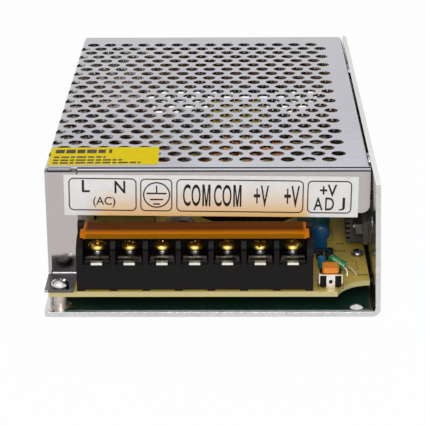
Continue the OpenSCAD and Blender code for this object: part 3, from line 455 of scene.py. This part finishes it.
# enamelled copper wire
wireLook = {"bright": (0.86, 0.40, 0.13), "dark": (0.48, 0.16, 0.04)}
copperWire = Finish("copperWire", {"Metallic": 0.85, "Coat Weight": 0.4, "Coat Roughness": 0.1})
wireGrain = copperWire.noise(420, 4)
copperWire.paint("Base Color", copperWire.blend(wireLook["dark"], wireLook["bright"],
                                                copperWire.spread(wireGrain, 0.3, 0.6)))
copperWire.paint("Roughness", copperWire.spread(wireGrain, 0.3, 0.7, 0.35, 0.22))

# circuit board: tan laminate, its cut edge paler
boardLook = {"face": (0.56, 0.40, 0.06), "fibre": (0.70, 0.52, 0.12), "edge": (0.62, 0.52, 0.25)}
board = Finish("board", {"IOR": 1.5, "Specular IOR Level": 0.35})
fibre = board.noise(1500, 4, 0.6, stretch=(1, 6, 1))
stain = board.noise(45, 4, 0.6)
faceColour = board.blend(boardLook["face"], boardLook["fibre"],
                         board.spread(fibre * 0.4 + stain * 0.6, 0.35, 0.65))
side = board.upward().maths("ABSOLUTE") < 0.5
board.paint("Base Color", board.blend(faceColour, boardLook["edge"], side))
board.paint("Roughness", board.spread(stain, 0.3, 0.7, 0.34, 0.46))
board.shape(fibre, 0.15, 0.0001)
dress(board, "pcb")

# clear amber flap: the amber is its own colour, and the changes across it are painted light: painted shade
# deeper towards the back, a painted glow at its ends where light leaves, and a painted highlight at the
# lip's top edge
amberLook = {"lip": (0.30, 0.115, 0.001), "lit": (0.70, 0.19, 0.003), "deep": (0.05, 0.008, 0.0003),
             "clear": 0.15, "rough": 0.14, "lipThick": 0.0003, "lipFade": (0.0006, 0.0002),
             "depthFade": (0.0004, 0.003), "endFade": (0.0022, 0.0012)}


def amberFinish(look):
    amber = Finish("clearAmber", {"Transmission Weight": look["clear"], "IOR": 1.2,
                                  "Specular IOR Level": 0.04})
    low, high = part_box("terminal_cover")
    mid = (low + high) / 2
    flow = amber.noise(60, 2, 0.5, stretch=(6, 1, 1))
    # painted glow towards both ends
    ends = amber.spread(amber.axis("X", centre=tuple(mid)).maths("ABSOLUTE"),
                        *[high.x - mid.x - fade for fade in look["endFade"]])
    depth = amber.axis("Y")
    # painted shade: darker towards the back
    behind = amber.spread(depth, *[low.y + fade for fade in look["depthFade"]])
    # painted highlight: the lip lightens towards its top edge
    rising = amber.spread(amber.axis("Z"), *[high.z - fade for fade in look["lipFade"]])
    front = amber.blend(look["lip"], look["lit"], rising)
    band = amber.blend(look["lit"], look["deep"], behind * 0.8 + flow * 0.2)
    middle = amber.blend(front, band, depth > low.y + look["lipThick"])
    amber.paint("Base Color", amber.blend(middle, look["lit"], ends))
    amber.paint("Roughness", amber.spread(flow, 0.3, 0.7, look["rough"] + 0.05, look["rough"]))
    amber.shape(flow, 0.03, 0.0002, 0.0002)
    return amber


dress(amberFinish(amberLook), "terminal_cover")

# green lamp lens
lensLook = {"dark": (0.01, 0.20, 0.05), "bright": (0.02, 0.34, 0.09)}
greenLens = Finish("greenLens", {"Transmission Weight": 0.25, "IOR": 1.5, "Coat Weight": 0.5})
haze = greenLens.noise(600, 3)
greenLens.paint("Base Color", greenLens.blend(lensLook["dark"], lensLook["bright"],
                                              greenLens.spread(haze, 0.3, 0.7)))
greenLens.paint("Roughness", greenLens.spread(haze, 0.3, 0.7, 0.2, 0.3))

# label: pale film, warm where the flap throws its colour up on it; places from its middle
labelLook = {"paper": (0.84, 0.83, 0.82), "fleck": 0.95, "warm": (0.99, 0.60, 0.22), "falloff": 1.4,
             "glowLeft": (-0.0375, -0.031), "glowRight": (0.0297, 0.0272), "glowUp": (0.0035, -0.0064)}
labelLow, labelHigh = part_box("front_label")
labelMid = (labelLow + labelHigh) / 2


def labelFinish(look):
    film = Finish("labelFilm", {"IOR": 1.45, "Specular IOR Level": 0.3})
    across = film.axis("X", centre=tuple(labelMid))
    upwards = film.axis("Z", centre=tuple(labelMid))
    glow = (film.spread(across, *look["glowLeft"]) * film.spread(across, *look["glowRight"])
            * film.spread(upwards, *look["glowUp"]))
    fleck = film.noise(380, 4)
    paper = film.blend(look["paper"], tuple(look["fleck"] * c for c in look["paper"]),
                       film.spread(fleck, 0.35, 0.65))
    film.paint("Base Color", film.blend(paper, look["warm"], glow ** look["falloff"]))
    film.paint("Roughness", film.spread(fleck, 0.3, 0.7, 0.42, 0.52))
    return film


dress(labelFinish(labelLook), "front_label")

# sticker and inks: two tones and gloss
inks = {"yellowLabel": ((0.93, 0.70, 0.0), (0.98, 0.78, 0.0), 0.03),
        "blackInk": ((0.020, 0.012, 0.010), (0.032, 0.021, 0.018), 0.2),
        "boardInk": ((0.10, 0.075, 0.02), (0.15, 0.11, 0.03), 0.3)}


def inkFinish(name):
    first, last, shine = inks[name]
    ink = Finish(name, {"IOR": 1.45, "Specular IOR Level": shine})
    fleck = ink.noise(500, 4)
    ink.paint("Base Color", ink.blend(first, last, ink.spread(fleck, 0.35, 0.65)))
    ink.paint("Roughness", ink.spread(fleck, 0.3, 0.7, 0.42, 0.55))
    return ink


yellowLabel, blackInk, boardInk = [inkFinish(name) for name in inks]
dress(yellowLabel, "top_sticker")
print("finishes ready")


# a piece at home in the frame
def piece(name, mesh, finish, body="case", hides=()):
    thing = bpy.data.objects.new(name, mesh)
    bpy.context.scene.collection.objects.link(thing)
    mesh.materials.clear()
    mesh.materials.append(finish.material)
    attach(thing, body)
    if hides:
        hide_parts(*hides)
    return thing


def meshOf(shape, name, smooth=None):
    mesh = bpy.data.meshes.new(name)
    bmesh.ops.recalc_face_normals(shape, faces=shape.faces)
    shape.to_mesh(mesh)
    shape.free()
    if smooth:
        mesh.shade_smooth()
        mesh.set_sharp_from_angle(angle=math.radians(smooth))
    return mesh


# side faces between rings of vertices, and the two end faces
def bridge(shape, rings, capped=True):
    for low, high in zip(rings, rings[1:]):
        for k in range(len(low)):
            after = (k + 1) % len(low)
            shape.faces.new((low[k], low[after], high[after], high[k]))
    if capped:
        shape.faces.new(rings[0])
        shape.faces.new(rings[-1])


def joined(name, meshes, smooth=35):
    shape = bmesh.new()
    for mesh in meshes:
        shape.from_mesh(mesh)
        bpy.data.meshes.remove(mesh)
    return meshOf(shape, name, smooth)


# screws: domed head with a slotted cross recess, threaded shank; millimetres and radians
screwSizes = {"Head Radius": 2.7, "Head Height": 2.2, "Shank Radius": 1.5, "Shank Length": 8.0,
              "Thread Pitch": 0.6, "Slot Width": 0.7, "Slot Length": 5.4, "Recess Depth": 0.9,
              "Undercut": 0.36, "Turn": 0.0, "Place": (0.0, 0.0, 0.0)}


def screwHead(tree):
    radius, height, under = tree.size("Head Radius"), tree.size("Head Height"), tree.size("Undercut")
    line = tree.add("GeometryNodeCurvePrimitiveLine", inputs={"End": tree.vector(z=height)})
    steps = tree.add("GeometryNodeResampleCurve", inputs={"Curve": line, "Count": 15})
    along = tree.add("GeometryNodeSplineParameter")
    dome = (1.0 - (along * 0.88) ** 2.8) ** 0.5  # full at the foot, a small flat on top
    neck = 1.0 - (1.0 - along) ** 5 * under
    head = tree.swept(steps, radius * (under * 0.16 + 1.0), 40, dome * neck)
    width, deep = tree.size("Slot Width"), tree.size("Recess Depth") * 2
    arms = [tree.moved(tree.add("GeometryNodeMeshCube", inputs={"Size": tree.vector(*size)}),
                       Translation=tree.vector(z=height))
            for size in ((tree.size("Slot Length"), width, deep),
                         (width * 1.25, radius * 1.25, deep * 1.5))]
    pit = tree.moved(tree.add("GeometryNodeMeshCone", inputs={
        "Vertices": 4, "Radius Top": radius * 0.55, "Radius Bottom": 0.1, "Depth": height}),
        Translation=tree.vector(z=height * 0.3 + 0.05))
    return tree.add("GeometryNodeMeshBoolean", {"operation": "DIFFERENCE"},
                    {"Mesh 1": head, "Mesh 2": [*arms, pit]})


def screwShank(tree):
    length, pitch = tree.size("Shank Length"), tree.size("Thread Pitch")
    ridge = pitch * 0.3
    root = tree.size("Shank Radius") - ridge
    threaded = length - 1.5
    rod = tree.moved(tree.add("GeometryNodeMeshCylinder", inputs={
        "Vertices": 24, "Radius": root, "Depth": length}), Translation=tree.vector(z=length * -0.5))
    spiral = tree.add("GeometryNodeCurveSpiral", inputs={
        "Resolution": 18, "Rotations": threaded / pitch, "Start Radius": root,
        "End Radius": root, "Height": threaded})
    thread = tree.moved(tree.swept(spiral, ridge, 4), Translation=tree.vector(z=0.6 - length))
    collar = tree.moved(tree.add("GeometryNodeMeshCylinder", inputs={
        "Vertices": 24, "Radius": tree.size("Shank Radius") - 0.05, "Depth": 1.2}),
        Translation=(0, 0, -0.6))
    return [rod, thread, collar]


def screwTree(sizes, finish):
    tree = Growth("crossScrew", sizes)
    whole = tree.add("GeometryNodeJoinGeometry", inputs={0: [screwHead(tree), *screwShank(tree)]})
    tree.end([tree.moved(whole, Rotation=tree.vector(z=tree.size("Turn")),
                         Translation=tree.size("Place"))], finish)
    return tree


screw = screwTree(screwSizes, brass)
recessTurns = [0.15, 1.1, 0.75, 2.2, 0.4, 1.45, 2.75]  # how each head happens to stand
for i, turn in enumerate(recessTurns, 1):
    low, high, mid = boxOf(f"terminal_screw_{i}")
    mesh = screw.grow({"Place": (mid.x, mid.y, high.z - screwSizes["Head Height"]), "Turn": turn})
    piece(f"terminalScrew{i}", joined(f"terminalScrew{i}", [mesh]), brass, f"screw_{i}",
          [f"terminal_screw_{i}"])

low, high, mid = boxOf("tab_screw")
tabScrew = {"Head Radius": 2.7, "Head Height": 1.9, "Shank Length": 5.3, "Turn": 0.6, "Undercut": 0.1}
tabPlace = (mid.x, mid.y, high.z - tabScrew["Head Height"])
piece("tabScrew", joined("tabScrew", [screw.grow({**tabScrew, "Place": tabPlace})]), plated,
      hides=["tab_screw"])

boardScrew = {"Head Radius": 2.0, "Head Height": 1.6, "Shank Length": 4.5, "Slot Length": 4.0,
              "Undercut": 0.1}
boardHeads = [(44.1, -50.0, 0.9), (-44.5, 70.0, 0.2), (44.1, 70.0, 1.3)]  # place and turn
piece("boardScrews", joined("boardScrews", [
    screw.grow({**boardScrew, "Turn": turn, "Place": (x, y, boardTop)}) for x, y, turn in boardHeads]),
    dim, hides=["pcb_screws"])
print("screws cut")

# turns of wire wrapped round a ring core; millimetres, First and Step in degrees
ringSizes = {"Outer": 14.0, "Inner": 5.8, "Width": 14.6, "Wire": 1.3, "Clearance": 0.1, "Turns": 20,
             "First": 0.0, "Step": 18.0, "Tilt": 0.0, "Place": (0.0, 0.0, 0.0)}


def ringTree(sizes, finish):
    tree = Growth("ringWinding", sizes)
    outer, inner, wire = tree.size("Outer"), tree.size("Inner"), tree.size("Wire")
    room = (wire * 0.5 + tree.size("Clearance")) * 2
    loop = tree.add("GeometryNodeCurvePrimitiveQuadrilateral",
                    inputs={"Width": outer - inner + room, "Height": tree.size("Width") + room})
    soft = tree.add("GeometryNodeFilletCurve", {"mode": "POLY"}, {
        "Curve": loop, "Count": 5, "Radius": wire * 1.1, "Limit Radius": True})
    turn = tree.moved(tree.swept(soft, wire * 0.5, 10), Rotation=(math.pi / 2, 0, 0),
                      Translation=tree.vector(x=(outer + inner) * 0.5))
    points = tree.add("GeometryNodePoints", inputs={"Count": tree.size("Turns")})
    degrees = tree.size("First") + tree.add("GeometryNodeInputIndex") * tree.size("Step")
    ring = tree.add("GeometryNodeInstanceOnPoints", inputs={
        "Points": points, "Instance": turn, "Rotation": tree.vector(z=degrees * (math.pi / 180))})
    tree.end([tree.moved(ring, Rotation=tree.vector(y=tree.size("Tilt")),
                         Translation=tree.size("Place"))], finish)
    return tree


ring = ringTree(ringSizes, copperWire)
outputTurns = {"Place": tuple(boxOf("output_choke_core")[2])}
piece("outputChokeTurns", joined("outputChokeTurns", [ring.grow(outputTurns)], 60),
      copperWire, hides=["output_choke_winding"])

lineTurns = {"Outer": 8.0, "Inner": 4.4, "Width": 7.0, "Wire": 0.9, "Turns": 12, "Step": 10.0,
             "Tilt": math.pi / 2, "Place": tuple(boxOf("line_choke_core")[2])}
lineStarts = (35.0, 215.0)  # the two windings lie opposite each other
piece("lineChokeTurns", joined("lineChokeTurns", [
    ring.grow({**lineTurns, "First": start}) for start in lineStarts], 60),
    copperWire, hides=["line_choke_winding"])
print("coils wound")

# disc capacitors: a lens of coating that runs down into two feet over the leads; millimetres
discLook = {"radius": 2.85, "thick": 2.6, "height": 9.7, "neck": 2.1, "fullness": 2.6, "layers": 9,
            "arcStart": -52, "arcSweep": 284, "leadApart": 1.7, "leadRadius": 0.3, "leadLength": 1.4,
            "at": [(32.8, -49.0), (-13.0, 63.0)]}


# seen from the front, from the middle of the round part
def discOutline(disc):
    steps, neck = 32, disc["neck"]
    angles = [math.radians(disc["arcStart"] + disc["arcSweep"] * k / steps) for k in range(steps + 1)]
    arc = [(disc["radius"] * math.cos(a), disc["radius"] * math.sin(a)) for a in angles]
    left = [(-neck, -3.2), (-neck, -4.6), (-neck + 0.05, -5.9), (-neck + 0.35, -6.2)]
    arch = [(-1.35, -5.8), (-1.2, -5.1), (-0.7, -4.75), (0.7, -4.75), (1.2, -5.1), (1.35, -5.8)]
    right = [(-u, v) for u, v in reversed(left)]
    return arc + left + arch + right


def makeDiscs(disc):
    shape = bmesh.new()
    outline = discOutline(disc)
    middle = boardTop + disc["height"] - disc["radius"]
    for cx, cy in disc["at"]:
        rings = []
        for k in range(disc["layers"]):
            side = -1 + 2 * k / (disc["layers"] - 1)
            full = math.sqrt(max(0.0, 1 - abs(side) ** disc["fullness"]))
            broad, tall, foot = 0.55 + 0.45 * full, 0.62 + 0.38 * full, 0.9 + 0.1 * full
            rings.append([shape.verts.new(Vector((
                cx + u * broad, cy + side * disc["thick"] / 2,
                middle + v * (tall if v > 0 else foot))) * mm) for u, v in outline])
        bridge(shape, rings)
        for side in (-1, 1):
            lead = Vector((cx + side * disc["leadApart"], cy, boardTop + disc["leadLength"] / 2)) * mm
            bmesh.ops.create_cone(shape, cap_ends=True, segments=12, radius1=disc["leadRadius"] * mm,
                                  radius2=disc["leadRadius"] * mm, depth=disc["leadLength"] * mm,
                                  matrix=Matrix.Translation(lead))
    piece("discCapacitors", meshOf(shape, "discCapacitors", 40), coats["blueCoating"],
          hides=["disc_capacitors"])


makeDiscs(discLook)

# indicator lamp: flanged dome lying back, its two legs bent down to the board; millimetres
lampLook = {"base": (39.2, -64.0, 9.1), "axis": (-0.83, 0.302, 0.4695), "radius": 1.45, "length": 4.0,
            "flange": 1.6, "flangeThick": 0.7, "legs": [(-1.1, (39.9, -66.6)), (1.0, (42.9, -66.6))],
            "wire": 0.22, "legBend": 2.2, "legRise": 0.9}
lampAxis = Vector(lampLook["axis"]).normalized()
lampAcross = lampAxis.cross(Vector((0, 0, 1))).normalized()


def makeLamp(lamp):
    grid = Matrix((lampAcross, lampAxis.cross(lampAcross), lampAxis)).transposed().to_4x4()
    grid = Matrix.Translation(Vector(lamp["base"]) * mm) @ grid @ Matrix.Scale(mm, 4)
    radius, length, sides = lamp["radius"], lamp["length"], 28
    profile = [(lamp["flange"], 0.0), (lamp["flange"], lamp["flangeThick"]),
               (radius, lamp["flangeThick"] + 0.15), (radius, length)]
    dome = [math.radians(15 * k) for k in range(1, 6)]
    profile += [(radius * math.cos(a), length + radius * math.sin(a)) for a in dome]
    turns = [2 * math.pi * k / sides for k in range(sides)]
    shape = bmesh.new()
    bridge(shape, [[shape.verts.new(grid @ Vector((reach * math.cos(a), reach * math.sin(a), rise)))
                    for a in turns] for reach, rise in profile])
    piece("lampLens", meshOf(shape, "lampLens", 40), greenLens, hides=["status_led"])


# one leg's middle line: out of the base, over a knee, down to its foot on the board
def legPath(lamp, offset, x, y, steps=18):
    start = Vector(lamp["base"]) + lampAcross * offset + lampAxis * 0.3
    knee = start - lampAxis * lamp["legBend"] + Vector((0, 0, lamp["legRise"]))
    foot = Vector((x, y, boardTop + 0.05))
    along = [k / steps for k in range(steps + 1)]
    return [start * (1 - s) ** 2 + knee * 2 * s * (1 - s) + foot * s ** 2 for s in along]


def makeLegs(lamp):
    shape = bmesh.new()
    sides, wire = 10, lamp["wire"]
    turns = [2 * math.pi * k / sides for k in range(sides)]
    for offset, (x, y) in lamp["legs"]:
        path = legPath(lamp, offset, x, y)
        rings = []
        for before, here, after in zip(path[:1] + path, path, path[1:] + path[-1:]):
            ahead = (after - before).normalized()
            u = ahead.cross(Vector((0.2, 0.5, 0.84))).normalized()
            v = ahead.cross(u)
            rings.append([shape.verts.new((here + (u * math.cos(a) + v * math.sin(a)) * wire) * mm)
                          for a in turns])
        bridge(shape, rings)
    piece("lampLegs", meshOf(shape, "lampLegs", 50), tinned)


makeLamp(lampLook)
makeLegs(lampLook)
print("small parts shaped")


# a flat print: closed outlines given in a plane's own millimetres, raised a little
def plane(centre, right, up):
    out = right.cross(up)
    return Matrix.Translation(centre) @ Matrix((right, up, out)).transposed().to_4x4() @ Matrix.Scale(mm, 4)


def addLoop(shape, grid, outer, inner=None, thick=0.03):
    walls = [[[shape.verts.new(grid @ Vector((u, v, w))) for u, v in loop] for w in (0, thick)]
             for loop in ([outer, inner] if inner else [outer])]
    for wall in walls:
        bridge(shape, wall, capped=not inner)
    if inner:
        for level in range(2):
            bridge(shape, [wall[level] for wall in walls], capped=False)


def roundedBox(u0, u1, v0, v1, radius, steps=6):
    loop = []
    for cu, cv, start in ((u1 - radius, v0 + radius, -90), (u1 - radius, v1 - radius, 0),
                          (u0 + radius, v1 - radius, 90), (u0 + radius, v0 + radius, 180)):
        for k in range(steps + 1):
            a = math.radians(start + 90 * k / steps)
            loop.append((cu + radius * math.cos(a), cv + radius * math.sin(a)))
    return loop


def circleLoop(u, v, radius, steps=48):
    return [(u + radius * math.cos(2 * math.pi * k / steps),
             v + radius * math.sin(2 * math.pi * k / steps)) for k in range(steps)]


def bar(u0, u1, v0, v1):
    return [(u0, v0), (u1, v0), (u1, v1), (u0, v1)]


# a word drawn to fill its box
def addWord(shape, grid, text, box, weight=0.0, thick=0.03):
    curve = bpy.data.curves.new("word", "FONT")
    curve.body, curve.offset, curve.resolution_u = text, weight, 4
    curve.extrude = thick
    drawn = bpy.data.objects.new("word", curve)
    bpy.context.scene.collection.objects.link(drawn)
    bpy.context.view_layer.update()
    mesh = bpy.data.meshes.new_from_object(drawn.evaluated_get(bpy.context.evaluated_depsgraph_get()))
    points = [v.co for v in mesh.vertices]
    low = Vector([min(p[k] for p in points) for k in range(3)])
    high = Vector([max(p[k] for p in points) for k in range(3)])
    u0, u1, v0, v1 = box
    fit = Matrix.Diagonal(((u1 - u0) / (high.x - low.x), (v1 - v0) / (high.y - low.y),
                           thick / (high.z - low.z), 1))
    mesh.transform(grid @ Matrix.Translation((u0, v0, 0)) @ fit @ Matrix.Translation(-low))
    shape.from_mesh(mesh)
    bpy.data.objects.remove(drawn)
    bpy.data.meshes.remove(mesh)


# the letter M as one outline
def letterM(u0, u1, v0, v1, stem=0.5, arm=0.66, point=0.24, fork=1.9):
    mid = (u0 + u1) / 2
    return [(u0, v0), (u0 + stem, v0), (u0 + stem, v1 - fork), (mid - point, v0), (mid + point, v0),
            (u1 - stem, v1 - fork), (u1 - stem, v0), (u1, v0), (u1, v1), (u1 - arm, v1),
            (mid, v0 + fork), (u0 + arm, v1), (u0, v1)]


# front label, in millimetres from its lower left corner: frames by left and right, letters by a box of
# left, right, foot and top, with a weight
labelPrint = {
    "size": (86.0, 12.6),
    "tilt": 0.87,
    "rise": 0.2,
    "line": 0.34,
    "corner": 1.5,
    "boxes": [(1.35, 21.25), (22.3, 31.7), (32.85, 70.05), (71.1, 84.1)],
    "boxHeight": (1.15, 11.3),
    "words": [("L", (5.25, 7.6, 6.85, 10.65), 0.015), ("N", (14.8, 17.95, 6.65, 10.5), 0.015),
              ("(AC)", (8.5, 15.0, 2.2, 5.5), 0.008),
              ("CO", (34.8, 39.95, 2.9, 9.7), 0.012), ("CO", (43.85, 49.0, 2.9, 9.7), 0.012),
              ("+V", (55.5, 59.9, 2.85, 9.6), 0.012), ("+V", (64.4, 68.9, 2.85, 9.6), 0.012),
              ("+V", (74.75, 79.75, 6.4, 10.1), 0.015), ("A", (73.0, 75.7, 2.1, 6.1), 0.012),
              ("D", (76.4, 79.0, 2.1, 6.1), 0.008), ("J", (80.4, 82.2, 2.1, 6.1), 0.0)],
    "drawnM": [(40.45, 42.85, 2.9, 9.7), (49.5, 51.9, 2.9, 9.7)],
    "earth": (27.1, 6.25, 4.0),  # middle and radius
    "earthLine": 0.4,
    "earthBars": [(0.2, 0.7, 2.9), (2.95, 0.22, 0.7), (1.95, -1.65, -1.2), (1.0, -3.05, -2.6)],
}


def makeLabelPrint(label):
    tilt, line, radius = math.radians(label["tilt"]), label["line"], label["corner"]
    right = Vector((math.cos(tilt), 0, -math.sin(tilt)))
    up = Vector((-right.z, 0, right.x))
    width, height = label["size"]
    front = Vector((labelMid.x, labelLow.y, labelMid.z))
    grid = plane(front - right * (width / 2 * mm) - up * ((height / 2 - label["rise"]) * mm), right, up)
    shape = bmesh.new()
    v0, v1 = label["boxHeight"]
    for u0, u1 in label["boxes"]:
        addLoop(shape, grid, roundedBox(u0, u1, v0, v1, radius),
                roundedBox(u0 + line, u1 - line, v0 + line, v1 - line, radius - line))
    u, v, reach = label["earth"]
    addLoop(shape, grid, circleLoop(u, v, reach), circleLoop(u, v, reach - label["earthLine"]))
    for half, foot, top in label["earthBars"]:
        addLoop(shape, grid, bar(u - half, u + half, v + foot, v + top))
    for text, box, weight in label["words"]:
        addWord(shape, grid, text, box, weight)
    for box in label["drawnM"]:
        addLoop(shape, grid, letterM(*box))
    piece("labelPrint", meshOf(shape, "labelPrint"), blackInk)


makeLabelPrint(labelPrint)

# board print: part outlines and short marks, in the frame's millimetres
boardPrint = {
    "line": 0.22,
    "thick": 0.015,
    "boxes": [(38.6, 43.5, -61.9, -55.0), (34.6, 38.0, -61.2, -58.0), (31.0, 38.4, -76.0, -68.9),
              (29.9, 35.7, -51.0, -47.0), (26.9, 37.4, -38.6, -27.6)],
    "markWidth": 0.5,
    "marks": [(37.3, 0.9, 4, -47.6, -46.3), (43.2, 0.8, 4, -66.3, -65.1),
              (38.2, 0.9, 3, -41.6, -40.3)],  # left, step, count, foot and top
}


def makeBoardPrint(layout):
    grid = plane(Vector((0, 0, boardTop * mm)), Vector((1, 0, 0)), Vector((0, 1, 0)))
    shape = bmesh.new()
    line, thick = layout["line"], layout["thick"]
    for u0, u1, v0, v1 in layout["boxes"]:
        addLoop(shape, grid, bar(u0, u1, v0, v1), bar(u0 + line, u1 - line, v0 + line, v1 - line), thick)
    for left, step, count, v0, v1 in layout["marks"]:
        for k in range(count):
            u0 = left + step * k
            addLoop(shape, grid, bar(u0, u0 + layout["markWidth"], v0, v1), thick=thick)
    piece("boardPrint", meshOf(shape, "boardPrint"), boardInk)


makeBoardPrint(boardPrint)

# top sticker: plain bars, a heavy row over lines of short ones; millimetres from its lower left corner
stickerPrint = {
    "size": (32.2, 15.2),
    "turn": 1.0,
    "heavy": [(1.4, 4.0), (4.5, 7.3), (7.8, 10.2), (10.7, 13.6), (14.1, 16.3), (17.3, 18.2)],
    "heavyRow": (9.9, 13.2),
    "rows": [(5.7, 7.0, 16.5), (3.0, 4.3, 21.5), (0.6, 1.9, 27.0)],  # foot, top and reach
    "margin": 1.2,
    "bars": (1.6, 2.4, 1.2, 2.9, 1.9),
    "gap": 0.5,
}


def makeStickerPrint(sticker):
    low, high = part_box("top_sticker")
    centre = Vector(((low.x + high.x) / 2, (low.y + high.y) / 2, high.z))
    turn = math.radians(sticker["turn"])
    right = Vector((math.cos(turn), math.sin(turn), 0))
    up = Vector((-right.y, right.x, 0))
    width, height = sticker["size"]
    grid = plane(centre - right * (width / 2 * mm) - up * (height / 2 * mm), right, up)
    shape = bmesh.new()
    for u0, u1 in sticker["heavy"]:
        addLoop(shape, grid, bar(u0, u1, *sticker["heavyRow"]))
    for v0, v1, reach in sticker["rows"]:
        u, k = sticker["margin"], 0
        while u < reach:
            step = sticker["bars"][k % len(sticker["bars"])]
            addLoop(shape, grid, bar(u, min(u + step, reach), v0, v1))
            u, k = u + step + sticker["gap"], k + 1
    piece("stickerPrint", meshOf(shape, "stickerPrint"), blackInk)


makeStickerPrint(stickerPrint)
print("print laid on label, sticker and board")

# studio: white floor that keeps a shadow, even world, softboxes with place, aim, size and power
studio = {"fill": 0.3, "white": 0.97, "floorReach": 4, "floorDrop": 0.0001, "lamps": {
    "keyLight": ((-0.25, -0.75, 0.95), (0, 0, 0.02), 0.9, 4.5),
    "frontLight": ((0.04, -1.0, 0.46), (0, 0, 0.03), 0.3, 3.4),
    "rimLight": ((0.3, 0.9, 0.9), (0, 0, 0.03), 0.9, 2.0)}}


# one where the camera sees a surface itself, in a mirror or through glass
def seenDirectly(tree):
    direct, mirror, glass = [tree.add("ShaderNodeLightPath", output=f"Is {ray} Ray")
                             for ray in ("Camera", "Glossy", "Transmission")]
    return direct.maths("MAXIMUM", mirror.maths("MAXIMUM", glass))


def makeFloor(setup):
    floorFinish = Finish("floor", {"Base Color": (0.9, 0.9, 0.9), "Roughness": 0.9})
    glow = floorFinish.add("ShaderNodeEmission", inputs={"Color": (1, 1, 1), "Strength": 1.0})
    mix = floorFinish.add("ShaderNodeMixShader", inputs={
        0: seenDirectly(floorFinish) * setup["white"],
        1: Signal(floorFinish, floorFinish.shader.outputs[0]), 2: glow})
    floorFinish.feed(floorFinish.nodes["Material Output"].inputs["Surface"], mix)
    shape = bmesh.new()
    reach = setup["floorReach"]
    for x, y in ((-reach, -reach), (reach, -reach), (reach, reach), (-reach, reach)):
        shape.verts.new((x, y, -setup["floorDrop"]))
    shape.faces.new(shape.verts)
    mesh = meshOf(shape, "floor")
    mesh.materials.append(floorFinish.material)
    floor = bpy.data.objects.new("floor", mesh)
    bpy.context.scene.collection.objects.link(floor)


def makeWorld(setup):
    world = bpy.data.worlds.new("studio")
    bpy.context.scene.world = world
    world.use_nodes = True
    sky = NodeTree(world.node_tree)
    background = sky.nodes["Background"]
    sky.feed(background.inputs["Color"], (1, 1, 1))
    sky.feed(background.inputs["Strength"],
             seenDirectly(sky) * (1 - setup["fill"]) + setup["fill"])


def makeLamps(setup):
    for name, (place, aim, size, power) in setup["lamps"].items():
        lamp = bpy.data.lights.new(name, "AREA")
        lamp.size, lamp.energy = size, power
        light = bpy.data.objects.new(name, lamp)
        light.location = place
        light.rotation_euler = (Vector(aim) - Vector(place)).to_track_quat("-Z", "Y").to_euler()
        bpy.context.scene.collection.objects.link(light)


makeFloor(studio)
makeWorld(studio)
makeLamps(studio)
print("studio ready")
